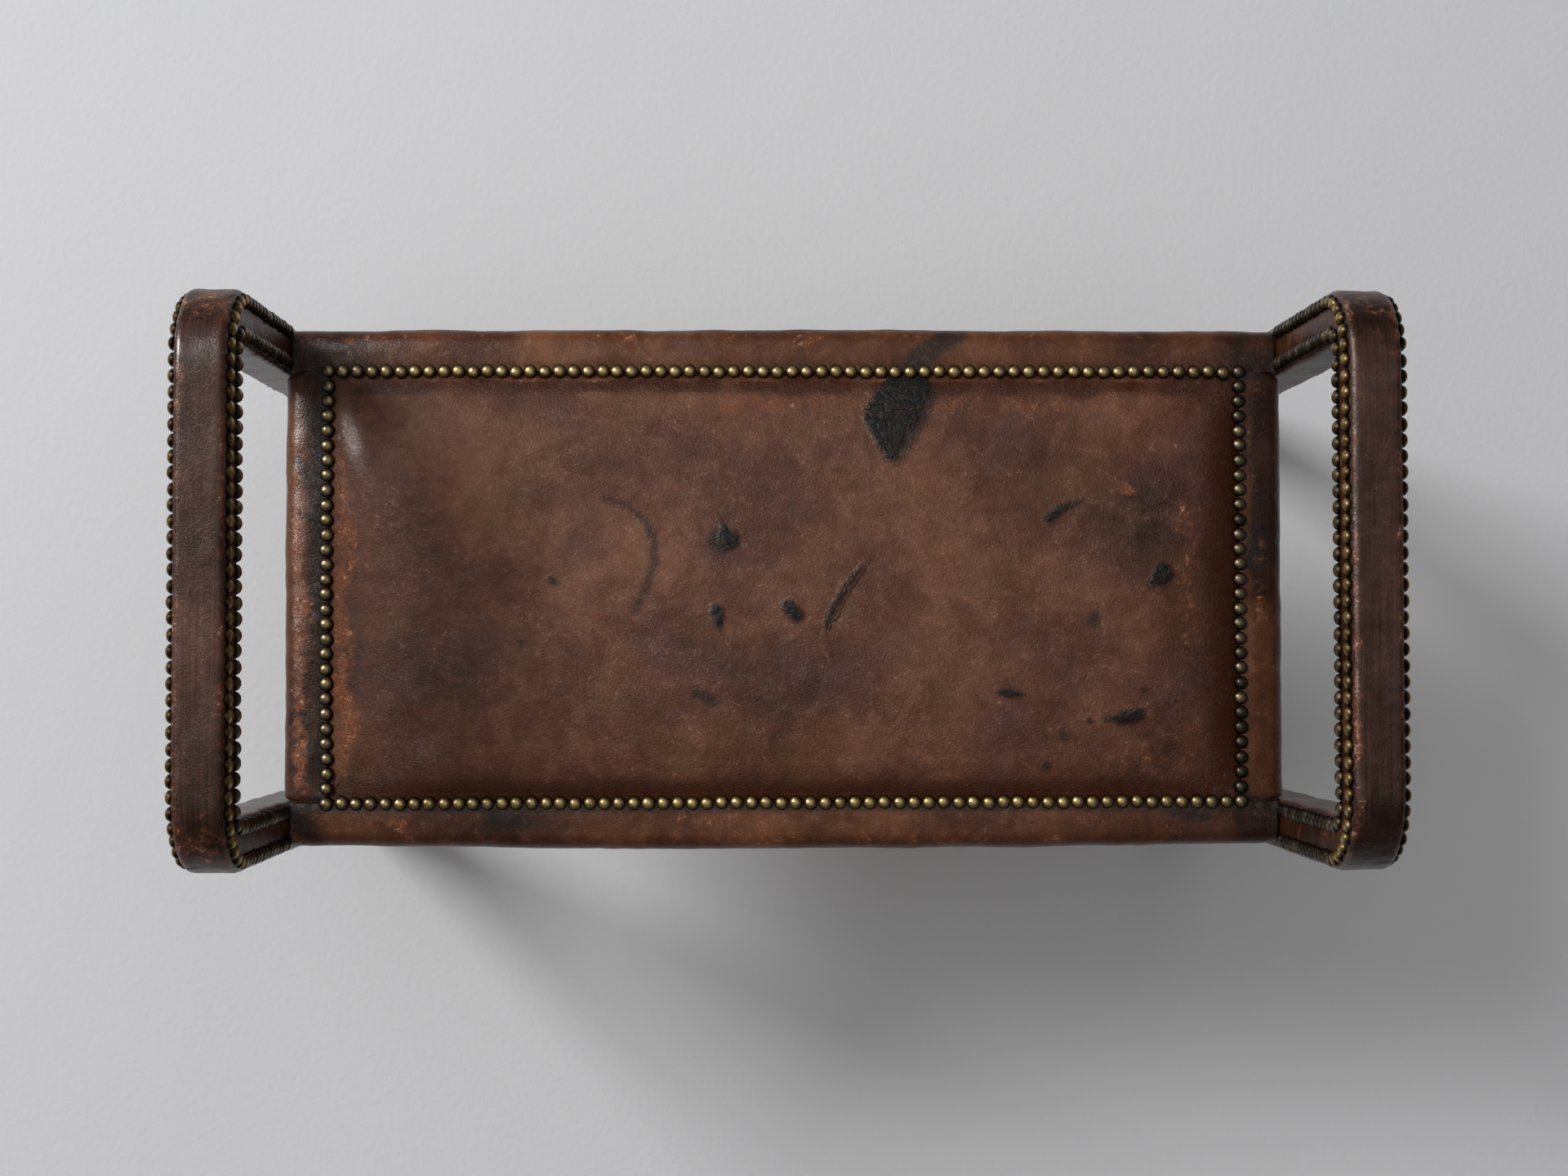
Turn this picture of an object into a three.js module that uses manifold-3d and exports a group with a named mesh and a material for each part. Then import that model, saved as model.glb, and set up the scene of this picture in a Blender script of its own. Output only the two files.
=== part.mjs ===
// A long leather-bound stool whose two end frames rise past the seat as handles. Each end frame
// is a beech bar in an upside-down U, bound with an outer strap, an inner strap and two side
// strips of leather that meet along the nail rows. Between the frames hangs a seat of four
// rebated rails with corner blocks, jute webbing, hessian, a hair pad and a leather cover of
// one crowned panel and four borders.
//
// Millimetres. X runs along the seat, +Y to its back and +Z up. The origin is on the floor,
// under the middle of the seat.

import * as THREE from 'three';
import { mergeVertices } from 'three/addons/utils/BufferGeometryUtils.js';
import Module from 'manifold-3d';

const wasm = await Module();
wasm.setup();

// Fits that every piece shares
const fitGap = 0.3;              // air between two pieces that seat on each other
const cutOverrun = 5;            // how far a cut runs past the face that it opens

// End frames, measured over their leather
const frameHeight = 565;         // floor to the top of the handle
const frameDepth = 360;          // front of the front leg to back of the back leg
const barWidth = 32.6;           // the bar along X
const barDepth = 35.1;           // the bar along Y on a leg, along Z on the handle
const handleRadius = 50;         // outside corner between leg and handle
const openingRadius = 4;         // inside corner between leg and handle
const barEdgeRadius = 5;         // long edges of the bar
const handleRise = 182;          // top of the handle above the nail line of the seat
const tongueShare = 1 / 3;       // width of the corner joint's tongue, of the wooden bar's width
const cornerSteps = 8;           // facets of a handle corner
const openingSteps = 3;          // facets of an inside corner
const edgeSteps = 3;             // facets of a rounded edge

// Leather on the end frames
const frameLeather = 2;
const lipWidth = 7;              // strap leather turned on to the sides, up to the nail row
const leatherLift = 4;           // the leather stops this far above the floor

// Seat, measured over its leather
const seatLength = 673.4;        // between the inner faces of the end frames
const seatSetIn = 4.4;           // front and back of the seat behind the faces of the legs
const sideBorder = 29.1;         // nail line to the front or back of the seat
const endBorder = 26.7;          // nail line to the inner face of an end frame
const seatLeather = 2;
const borderWadding = 2.4;       // wadding between the border leather and the rails
const borderRoll = 12;           // radius of the border's rolled edge
const borderSwellHeight = 1.4;   // the border stands this much over the nail line in its middle
const borderWrap = 20;           // leather turned in under a rail
const wrapRadius = 3;
const frontBow = 3;              // the front border swells forward by this in its middle
const backBow = 1;
const endBulge = 3.8;            // the end borders swell past the frames' inner faces
const bulgeReach = 11;           // the length over which a bulge dies away beside a leg
const borderSteps = 12;          // facets along a side border
const bulgeSteps = 4;            // facets where an end border's bulge dies away
const rollSteps = 4;             // facets round a border's roll

// Crowned panel and pad
const panelLap = 5;              // panel leather under the borders
const rollRise = 11;             // height gained over the roll inside the nail line
const rollWidth = 38;
const domeRise = 6;              // height that the middle adds
const edgeGatherPower = 1.5;     // gathers the facets towards the pad's edges
const panelSteps = { along: 22, across: 14 };

// Seat rails
const railHeight = 56;
const railWidth = 43;
const rebateWidth = 12;          // step along the inner top edge that takes the webbing
const rebateDepth = 7;
const endRailSetback = 3.2;      // outer face of an end rail behind the frame's inner face
const legTenon = { thickness: 12, height: 40, length: 20 };
const railTenon = { thickness: 14, height: 34, length: 15 };

// Webbing and hessian
const webbingWidth = 50;
const webbingThickness = 2;
const longStrapCount = 3;
const crossStrapCount = 7;
const plateauMargin = 2;         // flat run on each side of a crossing strap
const hessianThickness = 1;

// Corner blocks and their screws
const blockLength = 56;          // along each rail
const blockEnd = 14;             // blunt ends of the block
const blockHeight = 36;
const blockLift = 6;             // above the underside of the rails
const screw = { length: 40, radius: 2.1, headRadius: 4.2, headHeight: 3, tip: 6 };
const screwPlace = 38;           // from the inside corner, along the rail that it enters
const screwHead = 16;            // head's seat above that rail
const screwStagger = 14;         // the block's two screws pass at this distance
const screwSides = 8;

// Sizes worked out from the ones above
const frameSkin = frameLeather + fitGap;
const frameInnerX = seatLength / 2;
const frameOuterX = frameInnerX + barWidth;
const frameMiddleX = frameInnerX + barWidth / 2;
const frameHalf = frameDepth / 2;
const openingHalf = frameHalf - barDepth;
const openingTop = frameHeight - barDepth;
const coreUnderside = openingTop + frameSkin;
const tongueWidth = (barWidth - 2 * frameSkin) * tongueShare;

const seatDepth = frameDepth - 2 * seatSetIn;
const nailPlane = frameHeight - handleRise;
const nailX = frameInnerX - endBorder;
const nailY = seatDepth / 2 - sideBorder;
const borderBuild = seatLeather + borderWadding + 2 * fitGap;
const railTop = nailPlane - borderBuild;
const railBottom = railTop - railHeight;
const railMiddle = (railTop + railBottom) / 2;
const sideRailFace = seatDepth / 2 - borderBuild;
const endRailFace = frameInnerX - endRailSetback;
const landWidth = railWidth - rebateWidth;
const rebateFloor = railTop - rebateDepth;
const wellX = endRailFace - landWidth - fitGap;
const wellY = sideRailFace - landWidth - fitGap;
const insideX = endRailFace - railWidth;
const insideY = sideRailFace - railWidth;
const webbingLift = webbingThickness + fitGap;
const hessianBottom = rebateFloor + 2 * webbingLift + fitGap;
const padBottom = hessianBottom + hessianThickness + fitGap;
const panelFoot = nailPlane - seatLeather - fitGap;
const legTenonY = (openingHalf + lipWidth + sideRailFace) / 2;

const beech = new THREE.MeshStandardMaterial({ color: 0xb58d5e, roughness: 0.6, metalness: 0 });
const strapHide = new THREE.MeshStandardMaterial({ color: 0x3a1f18, roughness: 0.32, metalness: 0 });
const stripHide = new THREE.MeshStandardMaterial({ color: 0x4a2416, roughness: 0.4, metalness: 0 });
const borderHide = new THREE.MeshStandardMaterial({ color: 0x40261b, roughness: 0.35, metalness: 0 });
const panelHide = new THREE.MeshStandardMaterial({ color: 0x4f2c1d, roughness: 0.4, metalness: 0 });
const wool = new THREE.MeshStandardMaterial({ color: 0xcfc6b0, roughness: 1, metalness: 0 });
const jute = new THREE.MeshStandardMaterial({ color: 0xa98b5d, roughness: 0.95, metalness: 0 });
const hessian = new THREE.MeshStandardMaterial({ color: 0x9a7f57, roughness: 1, metalness: 0 });
const horsehair = new THREE.MeshStandardMaterial({ color: 0x4b4036, roughness: 1, metalness: 0 });
const steel = new THREE.MeshStandardMaterial({ color: 0x8a8a86, roughness: 0.4, metalness: 1 });

const stool = new THREE.Group();

function addPiece(name, geometry, material) {
  const mesh = new THREE.Mesh(geometry, material);
  mesh.name = name;
  stool.add(mesh);
}

// Solids: a closed geometry becomes a solid that can be joined and cut, and comes back

function solidOf(geometry) {
  const bare = geometry.clone();
  bare.deleteAttribute('normal');
  bare.deleteAttribute('uv');
  const merged = mergeVertices(bare);
  return new wasm.Manifold(new wasm.Mesh({
    numProp: 3,
    vertProperties: new Float32Array(merged.attributes.position.array),
    triVerts: new Uint32Array(merged.index.array),
  }));
}

function geometryOf(solid) {
  const mesh = solid.getMesh();
  const geometry = new THREE.BufferGeometry();
  geometry.setAttribute('position', new THREE.BufferAttribute(mesh.vertProperties, 3));
  geometry.setIndex(new THREE.BufferAttribute(mesh.triVerts, 1));
  geometry.computeVertexNormals();
  return geometry;
}

function boxBetween([x0, x1], [y0, y1], [z0, z1]) {
  const size = [x1 - x0, y1 - y0, z1 - z0].map(Math.abs);
  const box = new THREE.BoxGeometry(...size);
  return box.translate((x0 + x1) / 2, (y0 + y1) / 2, (z0 + z1) / 2);
}

// Extrudes a shape drawn in Y and Z from low to high X. A bevel rounds the edges inside the shape.
function extrudeAlongX(shape, low, high, bevel = 0, steps = 1) {
  const geometry = new THREE.ExtrudeGeometry(shape, {
    depth: high - low - 2 * bevel,
    bevelEnabled: bevel > 0,
    bevelThickness: bevel,
    bevelSize: bevel,
    bevelOffset: -bevel,
    bevelSegments: steps,
    curveSegments: cornerSteps,
  });
  geometry.applyMatrix4(new THREE.Matrix4().makeBasis(
    new THREE.Vector3(0, 1, 0), new THREE.Vector3(0, 0, 1), new THREE.Vector3(1, 0, 0)));
  return geometry.translate(low + bevel, 0, 0);
}

// Extrudes a shape drawn in X and Z from low to high Y.
function extrudeAlongY(shape, low, high) {
  const geometry = new THREE.ExtrudeGeometry(shape, {
    depth: high - low, bevelEnabled: false, curveSegments: cornerSteps,
  });
  geometry.applyMatrix4(new THREE.Matrix4().makeBasis(
    new THREE.Vector3(1, 0, 0), new THREE.Vector3(0, 0, 1), new THREE.Vector3(0, -1, 0)));
  return geometry.translate(0, high, 0);
}

// Joins closed rings of points, one after the other, into a body with a flat cap at each end.
// The section gives the ring's outline in the plane, for the caps.
function skinRings(rings, section) {
  const count = section.length;
  if (THREE.ShapeUtils.isClockWise(section)) {
    section.reverse();
    rings.forEach((ring) => ring.reverse());
  }
  const positions = rings.flat().flatMap((point) => point.toArray());
  const triangles = [];
  for (let ring = 0; ring + 1 < rings.length; ring += 1) {
    for (let i = 0; i < count; i += 1) {
      const a = ring * count + i;
      const b = ring * count + (i + 1) % count;
      triangles.push(a, b, a + count, b, b + count, a + count);
    }
  }
  const last = (rings.length - 1) * count;
  for (const [a, b, c] of THREE.ShapeUtils.triangulateShape(section, [])) {
    triangles.push(a, c, b, last + a, last + b, last + c);
  }
  return facingOut(positions, triangles);
}

// Turns every triangle over if the body would be inside out.
function facingOut(positions, triangles) {
  const corner = (i) => new THREE.Vector3().fromArray(positions, 3 * i);
  let volume = 0;
  for (let t = 0; t < triangles.length; t += 3) {
    const [a, b, c] = triangles.slice(t, t + 3).map(corner);
    volume += a.dot(b.cross(c));
  }
  const geometry = new THREE.BufferGeometry();
  geometry.setAttribute('position', new THREE.Float32BufferAttribute(positions, 3));
  geometry.setIndex(volume > 0 ? triangles : triangles.reverse());
  geometry.computeVertexNormals();
  return geometry;
}

// End frames

// The U seen from the end, its outer edge inset from the leather's outer face and its opening
// widened by the same inset. A sharp opening has no fillet in its two corners.
function frameShape(inset, foot, sharpOpening) {
  const outer = frameHalf - inset;
  const top = frameHeight - inset;
  const radius = handleRadius - inset;
  const inner = openingHalf + inset;
  const under = openingTop + inset;
  const fillet = openingRadius + inset;
  const shape = new THREE.Shape();
  shape.moveTo(outer, foot);
  shape.lineTo(outer, top - radius);
  shape.absarc(outer - radius, top - radius, radius, 0, Math.PI / 2, false);
  shape.absarc(radius - outer, top - radius, radius, Math.PI / 2, Math.PI, false);
  shape.lineTo(-outer, foot);
  shape.lineTo(-inner, foot);
  if (sharpOpening) {
    shape.lineTo(-inner, under);
    shape.lineTo(inner, under);
  } else {
    shape.absarc(fillet - inner, under - fillet, fillet, Math.PI, Math.PI / 2, true);
    shape.absarc(inner - fillet, under - fillet, fillet, Math.PI / 2, 0, true);
  }
  shape.lineTo(inner, foot);
  return shape;
}

// Stations along a strap: up one leg, round the corner, along the handle and down again. The
// facing is 1 for the outside of the frame and -1 for its opening.
function strapPath(half, top, radius, steps, facing) {
  const stations = [];
  const addStation = (centreY, centreZ, angle) => {
    const [across, up] = [Math.cos(angle), Math.sin(angle)];
    stations.push({
      y: centreY + radius * across, z: centreZ + radius * up, outY: facing * across, outZ: facing * up,
    });
  };
  addStation(radius - half, leatherLift, Math.PI);
  for (let i = 0; i <= steps; i += 1) {
    addStation(radius - half, top - radius, Math.PI - (Math.PI / 2) * (i / steps));
  }
  for (let i = 0; i <= steps; i += 1) {
    addStation(half - radius, top - radius, Math.PI / 2 - (Math.PI / 2) * (i / steps));
  }
  addStation(half - radius, leatherLift, 0);
  return stations;
}

// The strap's cross-section: a channel with rounded edges. The second number is the height,
// zero at the leather's face and negative into the bar.
function strapSection() {
  const half = barWidth / 2;
  const lip = lipWidth - fitGap / 2;
  const profile = (inset) => {
    const radius = barEdgeRadius - inset;
    const points = [new THREE.Vector2(inset - half, -lip)];
    for (const side of [-1, 1]) {
      for (let i = 0; i <= edgeSteps; i += 1) {
        const turn = (Math.PI / 2) * (i / edgeSteps);
        const angle = side < 0 ? Math.PI - turn : Math.PI / 2 - turn;
        points.push(new THREE.Vector2(
          side * (half - barEdgeRadius) + radius * Math.cos(angle),
          radius * Math.sin(angle) - barEdgeRadius));
      }
    }
    points.push(new THREE.Vector2(half - inset, -lip));
    return points;
  };
  return [...profile(0), ...profile(frameLeather).reverse()];
}

function strap(middleX, stations) {
  const section = strapSection();
  const rings = stations.map((at) => section.map((point) => new THREE.Vector3(
    middleX + point.x, at.y + point.y * at.outY, at.z + point.y * at.outZ)));
  return skinRings(rings, section);
}

// The tongue on top of a leg, as deep as the bar, which fills the slot in the handle rail
function tongueSpace(middleX, face, clearance) {
  const half = tongueWidth / 2 + clearance;
  return solidOf(boxBetween(
    [middleX - half, middleX + half],
    [face * (openingHalf + frameSkin - clearance), face * (frameHalf + cutOverrun)],
    [coreUnderside - cutOverrun, frameHeight + cutOverrun]));
}

// A side rail's tenon, which goes through the inner side strip into the leg
function legTenonSpace(side, face, clearance) {
  const halfY = legTenon.thickness / 2 + clearance;
  const halfZ = legTenon.height / 2 + clearance;
  const reach = frameInnerX + frameSkin + legTenon.length + clearance;
  return solidOf(boxBetween(
    [side * (frameInnerX - cutOverrun), side * reach],
    [face * legTenonY - halfY, face * legTenonY + halfY],
    [railMiddle - halfZ, railMiddle + halfZ]));
}

function addEndFrame(sideName, side) {
  const middleX = side * frameMiddleX;
  const halfCore = barWidth / 2 - frameSkin;
  const coreBevel = barEdgeRadius - frameSkin;
  const core = solidOf(extrudeAlongX(
    frameShape(frameSkin, 0, true), middleX - halfCore, middleX + halfCore, coreBevel));
  const everyX = [middleX - barWidth, middleX + barWidth];
  const aboveJoint = solidOf(boxBetween(
    everyX, [-frameDepth, frameDepth], [coreUnderside, frameHeight]));

  let rail = core.intersect(aboveJoint);
  for (const [faceName, face] of [['front', -1], ['back', 1]]) {
    const legSpace = solidOf(boxBetween(
      everyX, [0, face * frameDepth], [-cutOverrun, coreUnderside - fitGap]));
    const leg = core.intersect(legSpace)
      .add(core.intersect(tongueSpace(middleX, face, 0)))
      .subtract(legTenonSpace(side, face, fitGap));
    addPiece(`${sideName}_${faceName}_leg`, geometryOf(leg), beech);
    rail = rail.subtract(tongueSpace(middleX, face, fitGap));
  }
  addPiece(`${sideName}_handle_rail`, geometryOf(rail), beech);

  addPiece(`${sideName}_outer_strap`, strap(middleX,
    strapPath(frameHalf, frameHeight, handleRadius, cornerSteps, 1)), strapHide);
  addPiece(`${sideName}_inner_strap`, strap(middleX,
    strapPath(openingHalf, openingTop, openingRadius, openingSteps, -1)), strapHide);

  const stripShape = frameShape(lipWidth + fitGap / 2, leatherLift, false);
  for (const [stripName, from] of [['inner', frameInnerX], ['outer', frameOuterX - frameLeather]]) {
    const ends = [side * from, side * (from + frameLeather)].sort((a, b) => a - b);
    let strip = solidOf(extrudeAlongX(stripShape, ...ends));
    for (const face of [-1, 1]) {
      strip = stripName === 'inner' ? strip.subtract(legTenonSpace(side, face, fitGap)) : strip;
    }
    addPiece(`${sideName}_${stripName}_side_strip`, geometryOf(strip), stripHide);
  }
}

// Corner block and screws. A corner is given by the signs of its X and Y.

// Space that a screw fills, along its axis from the tip at minus its length to the head at zero
function screwProfile(clearance) {
  const { length, radius, headRadius, headHeight, tip } = screw;
  return [
    [0, -length - clearance],
    [radius + clearance, tip - length - clearance],
    [radius + clearance, -headHeight],
    [headRadius + clearance, 0],
    [0, 0],
  ].map(([across, along]) => new THREE.Vector2(across, along));
}

// Places a screw of one corner: along Y into the side rail, or along X into the end rail
function placeScrew(geometry, signX, signY, alongY) {
  const seat = screwHead + fitGap;
  const height = railBottom + blockLift + blockHeight / 2;
  const shift = screwStagger / 2;
  if (alongY) {
    geometry.rotateX(signY > 0 ? Math.PI : 0);
    return geometry.translate(
      signX * (insideX - screwPlace), signY * (insideY - seat), height + shift);
  }
  geometry.rotateZ(signX * Math.PI / 2);
  return geometry.translate(
    signX * (insideX - seat), signY * (insideY - screwPlace), height - shift);
}

// The screw's hole, with the bore above its head that lets it be driven from the block's face
function screwHole(signX, signY, alongY) {
  const bore = screw.headRadius + fitGap;
  const profile = screwProfile(fitGap).slice(0, -2);
  profile.push(new THREE.Vector2(bore, 0), new THREE.Vector2(bore, blockLength));
  profile.push(new THREE.Vector2(0, blockLength));
  return solidOf(placeScrew(new THREE.LatheGeometry(profile, screwSides), signX, signY, alongY));
}

function cornerBlock(signX, signY) {
  const cornerX = insideX - fitGap;
  const cornerY = insideY - fitGap;
  const outline = [
    [0, 0], [blockLength, 0], [blockLength, blockEnd], [blockEnd, blockLength], [0, blockLength],
  ];
  const points = outline.map(([along, across]) => new THREE.Vector2(
    signX * (cornerX - along), signY * (cornerY - across)));
  const block = new THREE.ExtrudeGeometry(new THREE.Shape(points), {
    depth: blockHeight, bevelEnabled: false,
  });
  block.translate(0, 0, railBottom + blockLift);
  return solidOf(block);
}

// Seat rails

// A rail's section: rounded outer top edge, and the rebate along its inner top edge
function railShape(outerFace) {
  const round = borderRoll - borderBuild;
  const inner = outerFace - railWidth;
  const shape = new THREE.Shape();
  shape.moveTo(inner, railBottom);
  shape.lineTo(outerFace, railBottom);
  shape.absarc(outerFace - round, railTop - round, round, 0, Math.PI / 2, false);
  shape.lineTo(outerFace - landWidth, railTop);
  shape.lineTo(outerFace - landWidth, rebateFloor);
  shape.lineTo(inner, rebateFloor);
  return shape;
}

function mirrored(shape) {
  return new THREE.Shape(shape.getPoints(cornerSteps / 2).map(
    (point) => new THREE.Vector2(-point.x, point.y)));
}

// An end rail's tenon, which goes into the inner face of a side rail
function railTenonSpace(signX, signY, clearance) {
  const middle = signX * (insideX + railWidth / 2);
  const halfX = railTenon.thickness / 2 + clearance;
  const halfZ = railTenon.height / 2 + clearance;
  const level = railBottom + blockLift + railTenon.height / 2;
  return solidOf(boxBetween(
    [middle - halfX, middle + halfX],
    [signY * (insideY - cutOverrun), signY * (insideY + railTenon.length + clearance)],
    [level - halfZ, level + halfZ]));
}

function sideRail(face) {
  const shoulder = frameInnerX - fitGap;
  const shape = face > 0 ? railShape(sideRailFace) : mirrored(railShape(sideRailFace));
  let rail = solidOf(extrudeAlongX(shape, -shoulder, shoulder));
  for (const side of [-1, 1]) {
    const endSection = side > 0 ? railShape(endRailFace) : mirrored(railShape(endRailFace));
    const notch = solidOf(boxBetween(
      [side * (endRailFace - landWidth), side * frameOuterX], [0, face * (nailY + fitGap)],
      [railBottom - cutOverrun, railTop + cutOverrun]))
      .subtract(solidOf(extrudeAlongY(endSection, -frameHalf, frameHalf)));
    const overhang = solidOf(boxBetween(
      [side * (endRailFace - landWidth), side * (insideX - cutOverrun)],
      [face * (insideY - cutOverrun), face * (sideRailFace - landWidth)],
      [rebateFloor, railTop + cutOverrun]));
    rail = rail.subtract(notch).subtract(overhang)
      .add(legTenonSpace(side, face, 0))
      .subtract(railTenonSpace(side, face, fitGap))
      .subtract(screwHole(side, face, true));
  }
  return rail;
}

function endRail(side) {
  const reach = insideY - fitGap;
  const shape = side > 0 ? railShape(endRailFace) : mirrored(railShape(endRailFace));
  let rail = solidOf(extrudeAlongY(shape, -reach, reach));
  for (const face of [-1, 1]) {
    rail = rail.add(railTenonSpace(side, face, 0)).subtract(screwHole(side, face, false));
  }
  return rail;
}

function addSeatFrame() {
  for (const [faceName, face] of [['front', -1], ['back', 1]]) {
    addPiece(`${faceName}_seat_rail`, geometryOf(sideRail(face)), beech);
  }
  for (const [sideName, side] of [['left', -1], ['right', 1]]) {
    addPiece(`${sideName}_seat_rail`, geometryOf(endRail(side)), beech);
    for (const [faceName, face] of [['front', -1], ['back', 1]]) {
      const corner = `${sideName}_${faceName}`;
      const block = cornerBlock(side, face)
        .subtract(screwHole(side, face, true))
        .subtract(screwHole(side, face, false));
      addPiece(`${corner}_corner_block`, geometryOf(block), beech);
      for (const [way, alongY] of [['side', true], ['end', false]]) {
        const body = new THREE.LatheGeometry(screwProfile(0), screwSides);
        addPiece(`${corner}_${way}_rail_screw`, placeScrew(body, side, face, alongY), steel);
      }
    }
  }
}

// Webbing and hessian

// The line of one strap over and under the straps that cross it. It lies flat past each
// crossing strap, slopes between them, and ends on the floor of the rebate.
function strapLine(halfLength, crossings, firstIsOver) {
  const flat = webbingWidth / 2 + plateauMargin;
  const line = [[-halfLength, 0]];
  crossings.forEach((place, i) => {
    const level = (i % 2 === 0) === firstIsOver ? webbingLift : 0;
    line.push([place - flat, level], [place + flat, level]);
  });
  line.push([halfLength, 0]);
  const base = rebateFloor + fitGap;
  const lower = line.map(([along, lift]) => new THREE.Vector2(along, base + lift));
  const upper = line.map(([along, lift]) => new THREE.Vector2(along, base + lift + webbingThickness));
  return new THREE.Shape([...lower, ...upper.reverse()]);
}

function strapPlaces(count, clearLength) {
  const pitch = clearLength / count;
  return Array.from({ length: count }, (_, i) => (i - (count - 1) / 2) * pitch);
}

function addWebbing() {
  const acrossPlaces = strapPlaces(longStrapCount, 2 * insideY);
  const alongPlaces = strapPlaces(crossStrapCount, 2 * insideX);
  const half = webbingWidth / 2;
  acrossPlaces.forEach((place, i) => {
    const line = strapLine(wellX, alongPlaces, i % 2 === 0);
    addPiece(`long_webbing_${i + 1}`, extrudeAlongY(line, place - half, place + half), jute);
  });
  alongPlaces.forEach((place, i) => {
    const line = strapLine(wellY, acrossPlaces, i % 2 === 1);
    addPiece(`cross_webbing_${i + 1}`, extrudeAlongX(line, place - half, place + half), jute);
  });
}

// Pad and panel

// Height of the panel's upper face over its foot: a quick roll inside the nail line, and a
// shallow dome over the whole seat
function crownHeight(x, y) {
  const roll = (inside) => 1 - (1 - Math.min(Math.max(inside, 0) / rollWidth, 1)) ** 2;
  const dome = (at, half) => Math.max(1 - (at / half) ** 2, 0);
  return rollRise * roll(nailX - Math.abs(x)) * roll(nailY - Math.abs(y))
    + domeRise * dome(x, nailX) * dome(y, nailY);
}

// Places from minus to plus half, closer together towards the ends
function gatheredPlaces(half, steps) {
  return Array.from({ length: steps + 1 }, (_, i) => {
    const way = 2 * (i / steps) - 1;
    return half * Math.sign(way) * (1 - (1 - Math.abs(way)) ** edgeGatherPower);
  });
}

// A body between two heights over a grid of places, closed round its edge
function slabBetween(placesX, placesY, lowerHeight, upperHeight) {
  const columns = placesY.length;
  const positions = [];
  for (const height of [lowerHeight, upperHeight]) {
    for (const x of placesX) {
      for (const y of placesY) {
        positions.push(x, y, height(x, y));
      }
    }
  }
  const layer = placesX.length * columns;
  const triangles = [];
  const addQuad = (a, b, c, d) => triangles.push(a, b, c, a, c, d);
  for (let i = 0; i + 1 < placesX.length; i += 1) {
    for (let j = 0; j + 1 < columns; j += 1) {
      const at = i * columns + j;
      addQuad(at, at + 1, at + columns + 1, at + columns);
      addQuad(layer + at, layer + at + columns, layer + at + columns + 1, layer + at + 1);
    }
    const [start, end] = [i * columns, (i + 1) * columns - 1];
    addQuad(start, start + columns, layer + start + columns, layer + start);
    addQuad(end, layer + end, layer + end + columns, end + columns);
  }
  for (let j = 0; j + 1 < columns; j += 1) {
    const end = (placesX.length - 1) * columns + j;
    addQuad(j, layer + j, layer + j + 1, j + 1);
    addQuad(end, end + 1, layer + end + 1, layer + end);
  }
  return facingOut(positions, triangles);
}

function addSeatFilling() {
  addPiece('hessian_sheet', boxBetween(
    [-wellX, wellX], [-wellY, wellY], [hessianBottom, hessianBottom + hessianThickness]), hessian);

  const padTop = (x, y) => panelFoot + crownHeight(x, y) - seatLeather - fitGap;
  const padPlaces = (half, steps, well) => [
    -well, ...gatheredPlaces(half - fitGap, steps).filter((place) => Math.abs(place) < well), well];
  addPiece('seat_pad', slabBetween(
    padPlaces(nailX, panelSteps.along, wellX), padPlaces(nailY, panelSteps.across, wellY),
    () => padBottom, padTop), horsehair);

  const lapped = (half, steps) => [
    -half - panelLap, ...gatheredPlaces(half - fitGap, steps), half + panelLap];
  const panelTop = (x, y) => panelFoot + crownHeight(x, y);
  addPiece('seat_panel_leather', slabBetween(
    lapped(nailX, panelSteps.along), lapped(nailY, panelSteps.across),
    (x, y) => panelTop(x, y) - seatLeather, panelTop), panelHide);
}

// Borders

// One face of the border in section, from the nail line outwards, over the roll, down the side
// and, if it wraps, in under the rail. The inset is the depth below the leather's outer face.
function borderFace({ reach, inset, start, swell, wraps }) {
  const points = [];
  const flat = reach - borderRoll;
  for (let i = 0; i <= rollSteps; i += 1) {
    const out = start + (flat - start) * (i / rollSteps);
    points.push([out, swell * Math.sin(Math.PI * Math.max(out, 0) / flat) - inset]);
  }
  const rollFace = borderRoll - inset;
  for (let i = 1; i <= rollSteps; i += 1) {
    const angle = (Math.PI / 2) * (1 - i / rollSteps);
    points.push([flat + rollFace * Math.cos(angle), rollFace * Math.sin(angle) - borderRoll]);
  }
  const bottom = railBottom - nailPlane;
  if (!wraps) {
    points.push([reach - inset, bottom]);
    return points;
  }
  const under = bottom - fitGap - seatLeather;
  const wrapFace = wrapRadius - inset;
  for (let i = 0; i <= 2; i += 1) {
    const angle = -(Math.PI / 2) * (i / 2);
    points.push([
      reach - wrapRadius + wrapFace * Math.cos(angle), under + wrapRadius + wrapFace * Math.sin(angle)]);
  }
  points.push([reach - borderWrap, under + inset]);
  return points;
}

// Leather of a border: its outer face follows the swelling, and so does its inner one
function leatherRing(reach, swelling, swell) {
  const face = (inset) => borderFace({
    reach: reach + swelling, inset, start: 0, swell, wraps: true,
  });
  return [...face(0), ...face(seatLeather).reverse()];
}

// Wadding of a border: its outer face follows the leather, its inner one stays on the rail
function waddingRing(reach, swelling, swell, railReach) {
  const start = panelLap + fitGap;
  const outer = borderFace({
    reach: reach + swelling, inset: seatLeather + fitGap, start, swell, wraps: false,
  });
  const inner = borderFace({
    reach: railReach + borderBuild, inset: borderBuild - fitGap, start, swell: 0, wraps: false,
  });
  return [...outer, ...inner.reverse()];
}

function evenPlaces(half, steps) {
  return Array.from({ length: steps + 1 }, (_, i) => half * (2 * (i / steps) - 1));
}

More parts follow.
